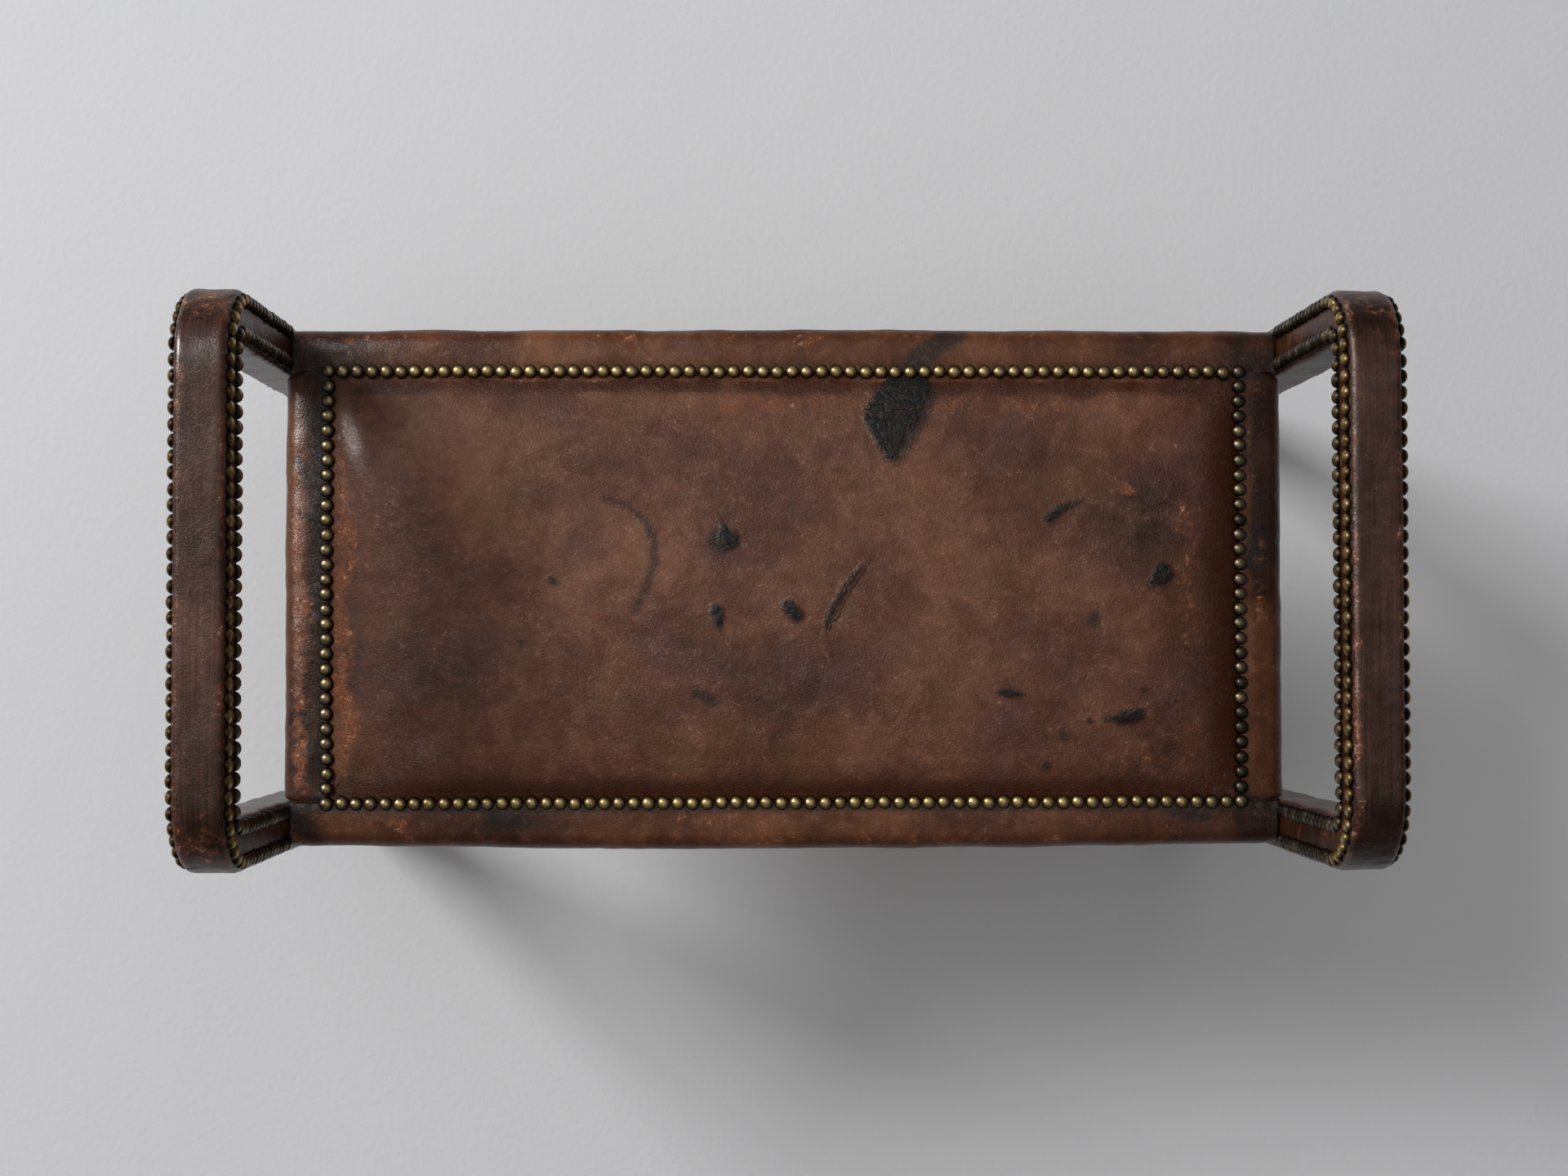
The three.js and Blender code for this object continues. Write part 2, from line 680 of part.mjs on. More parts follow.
// Skins a border from its section at each place along it. The section is drawn outwards and up
// from the nail line, and toWorld sets it on its side of the seat.
function borderBody(places, ringAt, toWorld) {
  const rings = places.map((place) => ringAt(place).map(([out, up]) => toWorld(place, out, nailPlane + up)));
  const section = ringAt(places[0]).map(([out, up]) => new THREE.Vector2(out, up));
  return skinRings(rings, section);
}

function addSideBorder(faceName, face, bow) {
  const half = frameInnerX - fitGap;
  const swellingAt = (x) => bow * Math.cos((Math.PI / 2) * (x / half));
  const toWorld = (x, out, z) => new THREE.Vector3(x, face * (nailY + out), z);
  addPiece(`${faceName}_border_leather`, borderBody(evenPlaces(half, borderSteps),
    (x) => leatherRing(sideBorder, swellingAt(x), borderSwellHeight), toWorld), borderHide);
  addPiece(`${faceName}_border_wadding`, borderBody(evenPlaces(half, borderSteps),
    (x) => waddingRing(sideBorder, swellingAt(x), borderSwellHeight, sideRailFace - nailY), toWorld), wool);
}

function addEndBorder(sideName, side) {
  const half = nailY - fitGap;
  const clearHalf = Math.min(openingHalf, nailY) - fitGap;
  const rise = (y) => THREE.MathUtils.smoothstep(clearHalf - Math.abs(y), 0, bulgeReach);
  const reach = endBorder - fitGap;
  const toWorld = (y, out, z) => new THREE.Vector3(side * (nailX + out), y, z);
  const easedPlaces = Array.from(
    { length: bulgeSteps + 1 }, (_, i) => clearHalf - bulgeReach * (1 - i / bulgeSteps));
  const places = [...easedPlaces, half];
  const allPlaces = [...places.map((y) => -y).reverse(), ...places];
  addPiece(`${sideName}_border_leather`, borderBody(allPlaces,
    (y) => leatherRing(reach, (endBulge + fitGap) * rise(y), borderSwellHeight * rise(y)), toWorld), borderHide);
  const waddingHalf = clearHalf - bulgeReach;
  addPiece(`${sideName}_border_wadding`, borderBody([-waddingHalf, waddingHalf],
    (y) => waddingRing(reach, (endBulge + fitGap) * rise(y), borderSwellHeight * rise(y), endRailFace - nailX),
    toWorld), wool);
}

addEndFrame('left', -1);
addEndFrame('right', 1);
addSeatFrame();
addWebbing();
addSeatFilling();
addSideBorder('front', -1, frontBow);
addSideBorder('back', 1, backBow);
addEndBorder('left', -1);
addEndBorder('right', 1);

export default stool;
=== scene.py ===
# Leather-bound stool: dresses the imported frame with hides, nails, filling and cloth.
# Shapes are worked out in millimetres and written to their meshes in metres.

import math

import bpy
import numpy as np
from mathutils import Euler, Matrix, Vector


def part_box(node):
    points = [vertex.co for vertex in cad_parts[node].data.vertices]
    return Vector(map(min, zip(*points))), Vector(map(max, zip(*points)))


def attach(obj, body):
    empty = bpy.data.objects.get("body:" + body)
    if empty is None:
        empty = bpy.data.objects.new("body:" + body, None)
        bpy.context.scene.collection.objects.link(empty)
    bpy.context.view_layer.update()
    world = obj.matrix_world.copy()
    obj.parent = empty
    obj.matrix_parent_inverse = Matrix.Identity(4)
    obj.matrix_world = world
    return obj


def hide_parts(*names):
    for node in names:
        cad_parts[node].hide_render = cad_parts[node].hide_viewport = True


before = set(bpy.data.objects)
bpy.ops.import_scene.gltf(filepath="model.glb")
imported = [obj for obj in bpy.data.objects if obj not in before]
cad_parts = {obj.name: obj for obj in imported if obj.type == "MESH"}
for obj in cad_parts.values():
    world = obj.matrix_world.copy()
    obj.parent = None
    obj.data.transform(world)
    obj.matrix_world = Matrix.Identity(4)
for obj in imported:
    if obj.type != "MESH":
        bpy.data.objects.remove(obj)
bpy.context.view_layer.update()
mm = 0.001


def boxOf(node):
    low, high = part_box(node)
    return np.array(low) / mm, np.array(high) / mm


# Camera and stage
view = {
    'lens': 50.625,
    'place': (-0.02695, -0.04609, 1.8808),
    'turn': (0.0301, -0.0173, -0.0015),
}
light = {
    # bearing from +X seen from above and height over the floor in degrees, distance and size in
    # metres, and the level that a white face lying flat gets from the lamp
    'lamps': {
        'windowLamp': (149, 43, 5.6, 1.7, 0.52),
        'skyLamp': (100, 84, 3.4, 2.8, 0.17),
        'fillLamp': (100, 82, 3.4, 5.0, 0.26),
    },
    'noReflection': ('fillLamp',),
    'roomNear': 0.28,      # the room's own light, on the window side and on the far side
    'roomFar': 0.12,
    'wallShare': 0.35,     # what is left of that light level with the floor
    'floorTone': (199, 199, 201),
    'floorFar': (140, 140, 142),   # the floor some way off, and the room past its edge
    'floorHalf': 9.0,              # metres
    'floorFades': (1.6, 4.2),
}


def srgb(red, green, blue):
    # A colour as a picture shows it, 0 to 255, made linear
    tone = np.array([red, green, blue]) / 255
    low, high = tone / 12.92, ((tone + 0.055) / 1.055) ** 2.4
    return (*np.where(tone < 0.04045, low, high), 1.0)


# Shader values that add and multiply as numbers do
class Wire:
    def __init__(self, tree, socket):
        self.tree = tree
        self.socket = socket

    def put(self, kind, inputs, output=0, **settings):
        return Wire(self.tree, putNode(self.tree, kind, inputs, **settings).outputs[output])

    def figure(self, operation, other=0.0, clamp=False):
        return self.put('Math', {0: self, 1: other}, operation=operation, use_clamp=clamp)

    def __add__(self, other):
        return self.figure('ADD', other)

    def __sub__(self, other):
        return self.figure('SUBTRACT', other)

    def __mul__(self, other):
        return self.figure('MULTIPLY', other)

    def unsigned(self):
        return self.figure('ABSOLUTE')

    def kept(self):
        # Kept between 0 and 1
        return self.figure('ADD', 0.0, True)

    def rise(self, low, high, start=0.0, end=1.0):
        # Smooth step from start to end while the value goes from low to high
        inputs = {'Value': self, 'From Min': low, 'From Max': high, 'To Min': start, 'To Max': end}
        return self.put('MapRange', inputs, interpolation_type='SMOOTHSTEP')

    def fall(self, low, high):
        return self.rise(low, high, 1.0, 0.0)

    def vector(self, operation, other, output=0):
        return self.put('VectorMath', {0: self, 1: other}, output, operation=operation)

    def scaled(self, by):
        return self.put('VectorMath', {0: self, 'Scale': by}, operation='SCALE')

    def parts(self):
        outputs = putNode(self.tree, 'SeparateXYZ', {0: self}).outputs
        return [Wire(self.tree, part) for part in outputs]

    def noise(self, scale, detail=4.0, rough=0.55, bent=0.0):
        # Scale in waves per metre
        inputs = {'Vector': self, 'Scale': scale, 'Detail': detail, 'Roughness': rough,
                  'Distortion': bent}
        return self.put('TexNoise', inputs)

    def cells(self, scale, feature='F1'):
        return self.put('TexVoronoi', {'Vector': self, 'Scale': scale}, 'Distance', feature=feature)

    def turned(self, angle=0.0, scale=(1, 1, 1), shift=(0, 0, 0)):
        inputs = {'Vector': self, 'Location': shift, 'Rotation': (0, 0, angle), 'Scale': scale}
        return self.put('Mapping', inputs)

    def stirred(self, scale, amount):
        # The place pushed about by a noise, so that straight patterns wander
        push = self.put('TexNoise', {'Vector': self, 'Scale': scale, 'Detail': 2.0}, 'Color')
        return self.vector('ADD', push.vector('SUBTRACT', (0.5, 0.5, 0.5)).scaled(amount))

    def tones(self, *stops):
        # A ramp through colours at their positions
        node = putNode(self.tree, 'ValToRGB', {'Fac': self})
        elements = node.color_ramp.elements
        while len(elements) < len(stops):
            elements.new(0.5)
        for element, (position, colour) in zip(elements, stops):
            element.position = position
            element.color = srgb(*colour)
        return Wire(self.tree, node.outputs[0])


def wire(socket, value):
    if isinstance(value, Wire):
        value.tree.links.new(value.socket, socket)
    else:
        socket.default_value = value


def putNode(tree, kind, inputs, **settings):
    node = tree.nodes.new('ShaderNode' + kind)
    for key, value in settings.items():
        setattr(node, key, value)
    for key, value in inputs.items():
        wire(node.inputs[key], value)
    return node


def mixed(share, first, second):
    # From the first colour to the second as the share goes from 0 to 1
    first, second = (tone if isinstance(tone, Wire) else srgb(*tone) for tone in (first, second))
    return share.put('Mix', {0: share, 6: first, 7: second}, 2, data_type='RGBA')


def between(share, first, second):
    return share.put('Mix', {0: share, 2: first, 3: second}, data_type='FLOAT')


def weighted(parts, weights):
    # Sum of the named parts, each times its weight
    whole = None
    for key, weight in weights.items():
        part = parts[key] * weight
        whole = part if whole is None else whole + part
    return whole


def field(tree, name):
    return Wire(tree, putNode(tree, 'Attribute', {}, attribute_name=name).outputs['Fac'])


def newMaterial(name):
    # An empty material, its shader and the place on the object in metres
    material = bpy.data.materials.new(name)
    material.use_nodes = True
    tree = material.node_tree
    tree.nodes.clear()
    shader = tree.nodes.new('ShaderNodeBsdfPrincipled')
    output = tree.nodes.new('ShaderNodeOutputMaterial')
    tree.links.new(shader.outputs[0], output.inputs[0])
    return material, shader, Wire(tree, putNode(tree, 'TexCoord', {}).outputs['Object'])


def surfaced(shader, colour, roughness, height, constants=()):
    # Colour and roughness go in as they are, the height in metres as a bump
    wire(shader.inputs['Base Color'], colour)
    wire(shader.inputs['Roughness'], roughness)
    bump = height.put('Bump', {'Height': height, 'Strength': 1.0, 'Distance': 1.0})
    wire(shader.inputs['Normal'], bump)
    wire(shader.inputs['Coat Normal'], bump)
    for key, value in dict(constants).items():
        shader.inputs[key].default_value = value


def shortMarks(place, scale, reach, width, share):
    # In a share of the cells, one short line through the middle, turned by the cell's own chance
    cell = putNode(place.tree, 'TexVoronoi', {'Vector': place, 'Scale': scale}).outputs
    turn, chance, _ = Wire(place.tree, cell['Color']).parts()
    off = place.vector('SUBTRACT', Wire(place.tree, cell['Position']))
    lain = off.put('VectorRotate', {'Vector': off, 'Angle': turn * (2 * math.pi)},
                   rotation_type='Z_AXIS')
    along, across, _ = lain.parts()
    line = across.unsigned().fall(0.0, width) * along.unsigned().fall(reach * 0.3, reach)
    return line * chance.rise(1.0 - share, 1.02 - share)


# Hides. Every leather piece carries the same fields: tone, worn, grime, shine, stain and smudge.
hideLooks = {
    'panelHide': {
        'deep': (38, 19, 12), 'middle': (80, 45, 30), 'light': (118, 76, 54),
        'rubbed': (104, 56, 30), 'fleck': (172, 122, 92), 'dirt': (54, 23, 6),
        'burnt': (12, 9, 8), 'cloudScale': 9.0, 'mottleScale': 55.0, 'fleckShare': 0.30,
        'streaks': 0.0, 'marks': 0.26, 'gloss': 0.34, 'glossSpread': 0.20, 'body': 0.28,
        'wax': 0.60, 'olive': (86, 60, 34), 'purple': (70, 44, 42), 'relief': 1.25,
        'patchy': 0.30, 'glint': (255, 248, 240),
    },
    'borderHide': {
        'deep': (34, 17, 10), 'middle': (72, 38, 21), 'light': (108, 67, 42),
        'rubbed': (104, 54, 28), 'fleck': (172, 122, 90), 'dirt': (28, 20, 16),
        'burnt': (24, 21, 22), 'cloudScale': 12.0, 'mottleScale': 60.0, 'fleckShare': 0.30,
        'streaks': 0.0, 'marks': 0.24, 'gloss': 0.31, 'glossSpread': 0.18, 'body': 0.24,
        'wax': 0.40, 'olive': (82, 51, 26), 'purple': (60, 36, 29), 'relief': 0.62,
        'patchy': 0.24, 'glint': (255, 248, 240),
    },
    'strapHide': {
        'deep': (28, 13, 6), 'middle': (58, 35, 28), 'light': (86, 58, 50),
        'rubbed': (84, 42, 22), 'fleck': (164, 124, 102), 'dirt': (24, 11, 4),
        'burnt': (34, 30, 30), 'cloudScale': 10.0, 'mottleScale': 80.0, 'fleckShare': 0.08,
        'streaks': 1.0, 'marks': 0.16, 'gloss': 0.30, 'glossSpread': 0.16, 'body': 0.26,
        'wax': 0.20, 'olive': (58, 37, 24), 'purple': (52, 34, 33), 'relief': 0.50,
        'patchy': 0.25, 'glint': (255, 240, 226),
    },
    'stripHide': {
        'deep': (30, 14, 5), 'middle': (54, 27, 12), 'light': (84, 45, 23),
        'rubbed': (90, 47, 23), 'fleck': (146, 100, 72), 'dirt': (20, 10, 4),
        'burnt': (32, 28, 26), 'cloudScale': 14.0, 'mottleScale': 90.0, 'fleckShare': 0.05,
        'streaks': 0.35, 'marks': 0.05, 'gloss': 0.34, 'glossSpread': 0.14, 'body': 0.10,
        'wax': 0.04, 'olive': (56, 30, 12), 'purple': (48, 24, 12), 'relief': 0.60,
        'patchy': 0.25, 'glint': (255, 214, 182),
    },
}
hideRules = {
    # what makes the hide paler, redder and duller
    'depth': {'clouds': 0.55, 'mottle': 0.50, 'fibre': 0.42, 'grain': 0.15, 'tone': 0.26},
    'rubbing': {'worn': 1.0, 'mottle': 1.2, 'clouds': 0.35, 'edge': 1.1},
    'gloss': {'fibre': 0.16, 'shine': -0.14, 'dirtAndShade': 0.06, 'flecks': 0.10, 'burnt': 0.14},
    'rubbedFrom': 1.77,        # rubbing at which a place is half rubbed
    'oliveShare': 0.30,
    'purpleShare': 0.45,
    # heights in metres
    'relief': {'grain': 1.3e-4, 'pebbles': -2.4e-4, 'mottle': 5.5e-4, 'fibre': 3.5e-4,
               'flecks': 1.6e-4, 'cracks': -1.1e-4, 'scratches': -6.0e-5, 'burnt': 1.0e-4,
               'splits': -1.5e-4, 'creases': -3.5e-4, 'lumps': 9.0e-4},
    # distances past a blot's edge in millimetres, with the ragged edge's own share
    'burntOver': (0.0, 5.2),
    'smudgedOver': (1.3, 8.0),
    'smudgeShare': 0.76,
    'crust': (22, 18, 17),
    'split': (8, 6, 6),
    'waxFromShine': 0.75,
    'coatRoughness': 0.22,
}
tear = {
    'edge': (0.35, 0.95),      # distances from a torn line in millimetres
    'split': (0.15, 0.50),
    'raw': ((92, 46, 30), (186, 132, 100)),
    'dark': (16, 12, 11),
    'lifted': 2.0e-4,
    'sunk': -5.0e-4,
    'runs': [[(53, 120), (63, 118), (74, 120), (84, 119), (91, 122)],
             [(56, 15), (52, 8), (45.5, -1), (40, -11), (35.5, -20), (28.5, -31)]],
}


def nearRun(place, run):
    # Distance in XY to a run of straight lines, in millimetres. Along each line the nearest point is
    # the share of it that the place's projection reaches, kept between its ends.
    flat = place.vector('MULTIPLY', (1.0, 1.0, 0.0))
    nearest = None
    for (x0, y0), (x1, y1) in zip(run, run[1:]):
        start, way = Vector((x0, y0, 0)) * mm, Vector((x1 - x0, y1 - y0, 0)) * mm
        off = flat.vector('SUBTRACT', start)
        share = off.vector('DOT_PRODUCT', way / way.length_squared, 'Value').kept()
        foot = share.put('VectorMath', {0: way, 'Scale': share}, operation='SCALE')
        away = off.vector('DISTANCE', foot, 'Value')
        nearest = away if nearest is None else nearest.figure('MINIMUM', away)
    return nearest * (1 / mm)


def hideMaterial(name, look, tears=()):
    material, shader, place = newMaterial(name)
    tree, rules = place.tree, hideRules
    hide = {key: field(tree, key) for key in ('tone', 'worn', 'grime', 'shine')}
    clouds = hide['clouds'] = place.noise(look['cloudScale'], 4.0, 0.55, 0.4)
    mottle = hide['mottle'] = place.noise(look['mottleScale'], 5.0, 0.68, 0.5)
    fibre = hide['fibre'] = place.turned(0.12, (0.72, 1.35, 1.0)).noise(430.0, 4.0, 0.8, 1.6)
    hide['grain'] = place.noise(1100.0, 2.0, 0.7)
    hide['pebbles'] = place.stirred(300.0, 0.0016).cells(620.0)
    edge = hide['edge'] = place.noise(190.0, 3.0, 0.6)
    # The tone field lowers the depth, and also carries painted shade: over the panel's front and
    # right rolls and at the straps' turn-downs.
    depth = weighted(hide, rules['depth']) - 0.16
    if look['streaks']:
        surface = Wire(tree, putNode(tree, 'UVMap', {}, uv_map='surface').outputs[0])
        streak = surface.turned(0.0, (11.0, 900.0, 1.0)).noise(1.0, 4.0, 0.7)
        depth = depth + streak * look['streaks'] - look['streaks'] * 0.5
    colour = depth.tones((0.36, look['deep']), (0.64, look['middle']), (0.94, look['light']))

    # The hue drifts between olive and purple brown from place to place
    drift = place.turned(shift=(7, 3, 1)).noise(look['cloudScale'] * 1.9, 3.0)
    colour = mixed(drift.rise(0.50, 0.70, 0.0, rules['oliveShare']), colour, look['olive'])
    colour = mixed(drift.rise(0.30, 0.50, rules['purpleShare'], 0.0), colour, look['purple'])

    # Rubbed places go red and orange, with pale flecks where the finish has gone
    rubbing = weighted(hide, rules['rubbing'])
    rubbing = rubbing.rise(rules['rubbedFrom'] - look['patchy'], rules['rubbedFrom'] + look['patchy'])
    colour = mixed(rubbing, colour, look['rubbed'])
    fleckNoise = place.noise(300.0, 5.0, 0.78, 0.8)
    fleckWhere = rubbing * 0.95 + mottle.rise(0.48, 0.64) * look['fleckShare']
    flecks = hide['flecks'] = (fleckNoise + rubbing * 0.06).rise(0.56, 0.68) * fleckWhere
    colour = mixed(flecks, colour, look['fleck'])

    # Straight scratches and short crooked cracks, both paler than the hide
    straight = shortMarks(place.stirred(40.0, 0.003), 26.0, 0.014, 0.00036, 0.40)
    crooked = shortMarks(place.stirred(260.0, 0.005), 52.0, 0.007, 0.00045, 0.42)
    scratches = straight.figure('MAXIMUM', crooked) * fibre.rise(0.42, 0.58, 0.15, 1.0)
    hide['scratches'] = scratches
    colour = mixed(scratches * look['marks'], colour, look['fleck'])

    # Cracks run between cells where the hide is worn
    gaps = place.stirred(160.0, 0.004).cells(300.0, 'DISTANCE_TO_EDGE')
    cracks = hide['cracks'] = gaps.fall(0.0, 0.07) * rubbing
    colour = mixed(cracks * 0.45, colour, look['dirt'])

    # Dirt gathers beside the nails and in the folds; on the panel the grime field also carries
    # painted shade over the rolls, mixed in with the same dark colour
    dirtAndShade = hide['dirtAndShade'] = (hide['grime'] + mottle * 0.8).rise(0.55, 1.25)
    colour = mixed(dirtAndShade, colour, look['dirt'])

    # Burnt patches are black and lumpy with a soft edge; smudges are faint and dark
    ragged = edge * 3.4 + fibre * 2.6
    burnt = hide['burnt'] = (field(tree, 'stain') + ragged).fall(*rules['burntOver'])
    smudge = field(tree, 'smudge') + ragged * 1.2
    smudged = smudge.rise(*rules['smudgedOver'], rules['smudgeShare'], 0.0)
    colour = mixed(smudged, colour, look['burnt'])
    wrinkled = place.turned(0.35, (1.0, 1.3, 1.0)).stirred(90.0, 0.007)
    wrinkles = wrinkled.cells(105.0, 'DISTANCE_TO_EDGE')
    creased = burnt * mottle.rise(0.44, 0.56)
    hide['creases'] = wrinkles.fall(0.0, 0.20) * creased
    splits = hide['splits'] = wrinkles.fall(0.0, 0.04) * creased
    hide['lumps'] = edge * burnt
    colour = mixed(burnt, colour, mixed(edge.rise(0.46, 0.70), look['burnt'], rules['crust']))
    colour = mixed(splits * 0.6, colour, rules['split'])
    relief = weighted(hide, rules['relief'])

    # Torn lines: a dark split between curled, raw edges
    for run in tears:
        away = nearRun(place.stirred(210.0, 0.0032), run)
        raw = away.fall(*tear['edge']) * fleckNoise.rise(0.50, 0.58)
        colour = mixed(raw, colour, mixed(fibre, *tear['raw']))
        deepest = away.fall(*tear['split'])
        colour = mixed(deepest, colour, tear['dark'])
        relief = relief + raw * tear['lifted'] + deepest * tear['sunk']

    gloss = mottle * look['glossSpread'] + weighted(hide, rules['gloss'])
    gloss = (gloss + (look['gloss'] - look['glossSpread'] / 2 - 0.08)).kept()
    shine = hide['shine']
    specks = fleckNoise.rise(0.47, 0.60) * mottle.rise(0.36, 0.62)
    waxed = (shine * rules['waxFromShine'] + specks * look['wax']).kept()
    wire(shader.inputs['Coat Weight'], waxed)
    smoothed = shine.rise(0.0, 1.2, look['relief'], look['relief'] * 0.5)
    surfaced(shader, colour, gloss, relief * smoothed, {
        'IOR': 1.5, 'Specular IOR Level': look['body'], 'Specular Tint': srgb(*look['glint']),
        'Coat Roughness': rules['coatRoughness']})
    return material


def brassMaterial():
    # Old brass: golden on the crown, brown and dull at the rim, each nail with a tone of its own. The
    # darker rim is partly patina and partly painted shade on the dome's sides, and the lighter crown
    # is partly a painted highlight.
    material, shader, place = newMaterial('antiqueBrass')
    crown, own = field(place.tree, 'crown'), field(place.tree, 'ownTone')
    blotch = place.noise(420.0, 4.0, 0.65, 0.8)
    fine = place.noise(2600.0, 2.0, 0.5)
    # litAndClean rises towards the crown: painted light on the dome's top, painted shade towards its
    # rim
    litAndClean = crown * 0.95 + blotch * 0.60 + own * -0.18 - 0.15
    golden = litAndClean.tones((0.22, (18, 13, 8)), (0.52, (70, 54, 32)), (0.80, (126, 104, 64)),
                         (1.0, (170, 148, 104)))
    aged = litAndClean.tones((0.20, (18, 14, 11)), (0.54, (60, 51, 41)), (0.92, (122, 110, 93)))
    colour = mixed(own.rise(0.25, 1.0, 0.0, 0.95), golden, aged)
    # The dullest nails go near black; on the legs and in the frames' inner rows that dullness is
    # painted shade
    colour = mixed(own.rise(0.84, 1.0, 0.0, 0.72), colour, (30, 26, 20))
    gloss = (blotch * 0.26 + crown * -0.10 + fine * 0.05 + 0.27).kept()
    surfaced(shader, colour, gloss, blotch * 1.4e-4 + fine * 2.0e-5, {'Metallic': 0.92})
    return material


def beechMaterial():
    # Beech: long grain along the bar, short dark rays, oil-stained and dirty towards the floor
    material, shader, place = newMaterial('beechWood')
    height = place.parts()[2]
    rails = place.turned(0.0, (14.0, 120.0, 120.0)).noise(1.0, 6.0, 0.6, 0.6)
    posts = place.turned(0.0, (120.0, 120.0, 10.0)).noise(1.0, 6.0, 0.6, 0.6)
    inSeat = height.rise(0.30, 0.31) * height.fall(0.38, 0.385)
    grain = between(inSeat, posts, rails)
    rays = place.turned(0.0, (60.0, 420.0, 60.0)).cells(6.0)
    colour = (grain * 1.1 + rays.rise(0.05, 0.3) * 0.16).tones(
        (0.35, (126, 90, 58)), (0.62, (168, 128, 86)), (0.95, (196, 160, 116)))
    dusty = place.noise(22.0, 5.0, 0.6).rise(0.42, 0.68)
    colour = mixed(dusty * 0.45, colour, (108, 84, 60))
    colour = mixed(height.rise(0.002, 0.03, 0.8, 0.0), colour, (52, 36, 26))
    sawn = place.turned(0.0, (220.0, 1500.0, 1500.0)).noise(1.0, 2.0)
    surfaced(shader, colour, grain.rise(0.3, 0.7, 0.62, 0.48), grain * 2.2e-4 + sawn * 7.0e-5)
    return material


def weaveMaterial(name, look):
    # Plain weave: two sets of round threads, sine waves that pass over and under each other
    material, shader, place = newMaterial(name)
    x, y, _ = place.stirred(55.0, look['wander']).parts()
    turns = 2 * math.pi / look['pitch']
    warp, weft = ((axis * turns).figure('SINE') for axis in (x, y))
    halfWarp, halfWeft = ((axis * (turns / 2)).figure('SINE') for axis in (x, y))
    threads = between((halfWarp * halfWeft).rise(-0.25, 0.25), warp, weft)
    fibre = place.noise(1800.0, 3.0, 0.6)
    slub = place.turned(0.0, (60.0, 700.0, 60.0)).noise(1.0, 3.0)
    tint = threads * 0.16 + fibre * 0.30 + slub * 0.30 + place.noise(18.0, 4.0) * 0.40
    colour = tint.tones((0.22, look['shade']), (0.52, look['yarn']), (0.82, look['bright']))
    height = threads * look['relief'] + fibre * 6.0e-5 + slub * 1.2e-4
    surfaced(shader, colour, 0.92, height, {'Sheen Weight': 0.25})
    return material


def fuzzMaterial(name, dark, pale, scale):
    # Felted or curled fibre: tangled contour lines of a bent noise
    material, shader, place = newMaterial(name)
    tangle = place.noise(scale, 5.0, 0.7, 2.2)
    fine = place.noise(scale * 5, 3.0, 0.6, 1.0)
    colour = (tangle * 0.7 + fine * 0.4).tones((0.35, dark), (0.75, pale))
    surfaced(shader, colour, 0.95, tangle * 9.0e-4 + fine * 3.0e-4, {'Sheen Weight': 0.3})
    return material


def steelMaterial(name, dark, pale, dull):
    # Blotched steel with fine turning marks
    material, shader, place = newMaterial(name)
    blotch = place.noise(300.0, 4.0, 0.6)
    marks = place.turned(0.0, (3000.0, 3000.0, 200.0)).noise(1.0, 2.0)
    colour = (blotch * 0.8 + marks * 0.2).tones((0.35, dark), (0.70, pale))
    surfaced(shader, colour, blotch.rise(0.3, 0.7, dull, dull + 0.2),
             blotch * 5.0e-5 + marks * 1.0e-5, {'Metallic': 1.0})
    return material


hides = {name: hideMaterial(name, look, tear['runs'] if name == 'panelHide' else ())
         for name, look in hideLooks.items()}
antiqueBrass = brassMaterial()
beechWood = beechMaterial()
juteWebbing = weaveMaterial('juteWebbing', {
    'pitch': 0.0034, 'wander': 0.0006, 'relief': 3.0e-4,
    'shade': (104, 80, 50), 'yarn': (158, 128, 86), 'bright': (196, 168, 122)})
hessianWeave = weaveMaterial('hessianWeave', {
    'pitch': 0.0026, 'wander': 0.0008, 'relief': 2.4e-4,
    'shade': (84, 66, 42), 'yarn': (140, 114, 78), 'bright': (180, 152, 110)})
woolFelt = fuzzMaterial('woolFelt', (168, 158, 136), (214, 206, 188), 260.0)
curledHair = fuzzMaterial('curledHair', (40, 33, 28), (92, 78, 64), 340.0)
screwSteel = steelMaterial('screwSteel', (92, 90, 86), (150, 148, 142), 0.32)
tackSteel = steelMaterial('tackSteel', (34, 36, 42), (70, 74, 82), 0.30)
print('finishes ready')


# Numbers on grids
farOff = 60.0      # millimetres from a blot, taken where none is near


def meshed(first, second):
    return np.meshgrid(first, second, indexing='ij')


def stacked(*parts):
    return np.stack(parts, -1)


def smooth(value, low, high):
    # 0 below low, 1 above high, and between them a cubic that is level at both
    way = np.clip((value - low) / (high - low), 0, 1)
    return way * way * (3 - 2 * way)


def bell(value, reach):
    # e to the minus square of the value over its reach
    return np.exp(-(value / reach) ** 2)


def unevenness(along, across, length, seed):
    # Sum of sine waves of about that length, with seeded directions and phases, near -1 to 1
    waves, stretches = 12, (0.6, 1.7)
    low, high = (0, 0, stretches[0]), (np.pi, 2 * np.pi, stretches[1])
    whole = 0
    for turn, phase, stretch in np.random.default_rng(seed).uniform(low, high, (waves, 3)):
        way = along * np.cos(turn) + across * np.sin(turn)
        whole = whole + np.sin(2 * np.pi * stretch / length * way + phase)
    return whole / math.sqrt(waves)


def spots(along, across, marks):
    # Soft marks: each is a bell both ways from its middle, and may be turned by some degrees
    whole = np.zeros(np.broadcast(along, across).shape)
    for x, y, reachX, reachY, amount, *degrees in marks:
        turn = math.radians(sum(degrees))
        a = (along - x) * math.cos(turn) + (across - y) * math.sin(turn)
        b = (across - y) * math.cos(turn) - (along - x) * math.sin(turn)
        whole += amount * np.exp(-(a / reachX) ** 2 - (b / reachY) ** 2)
    return whole


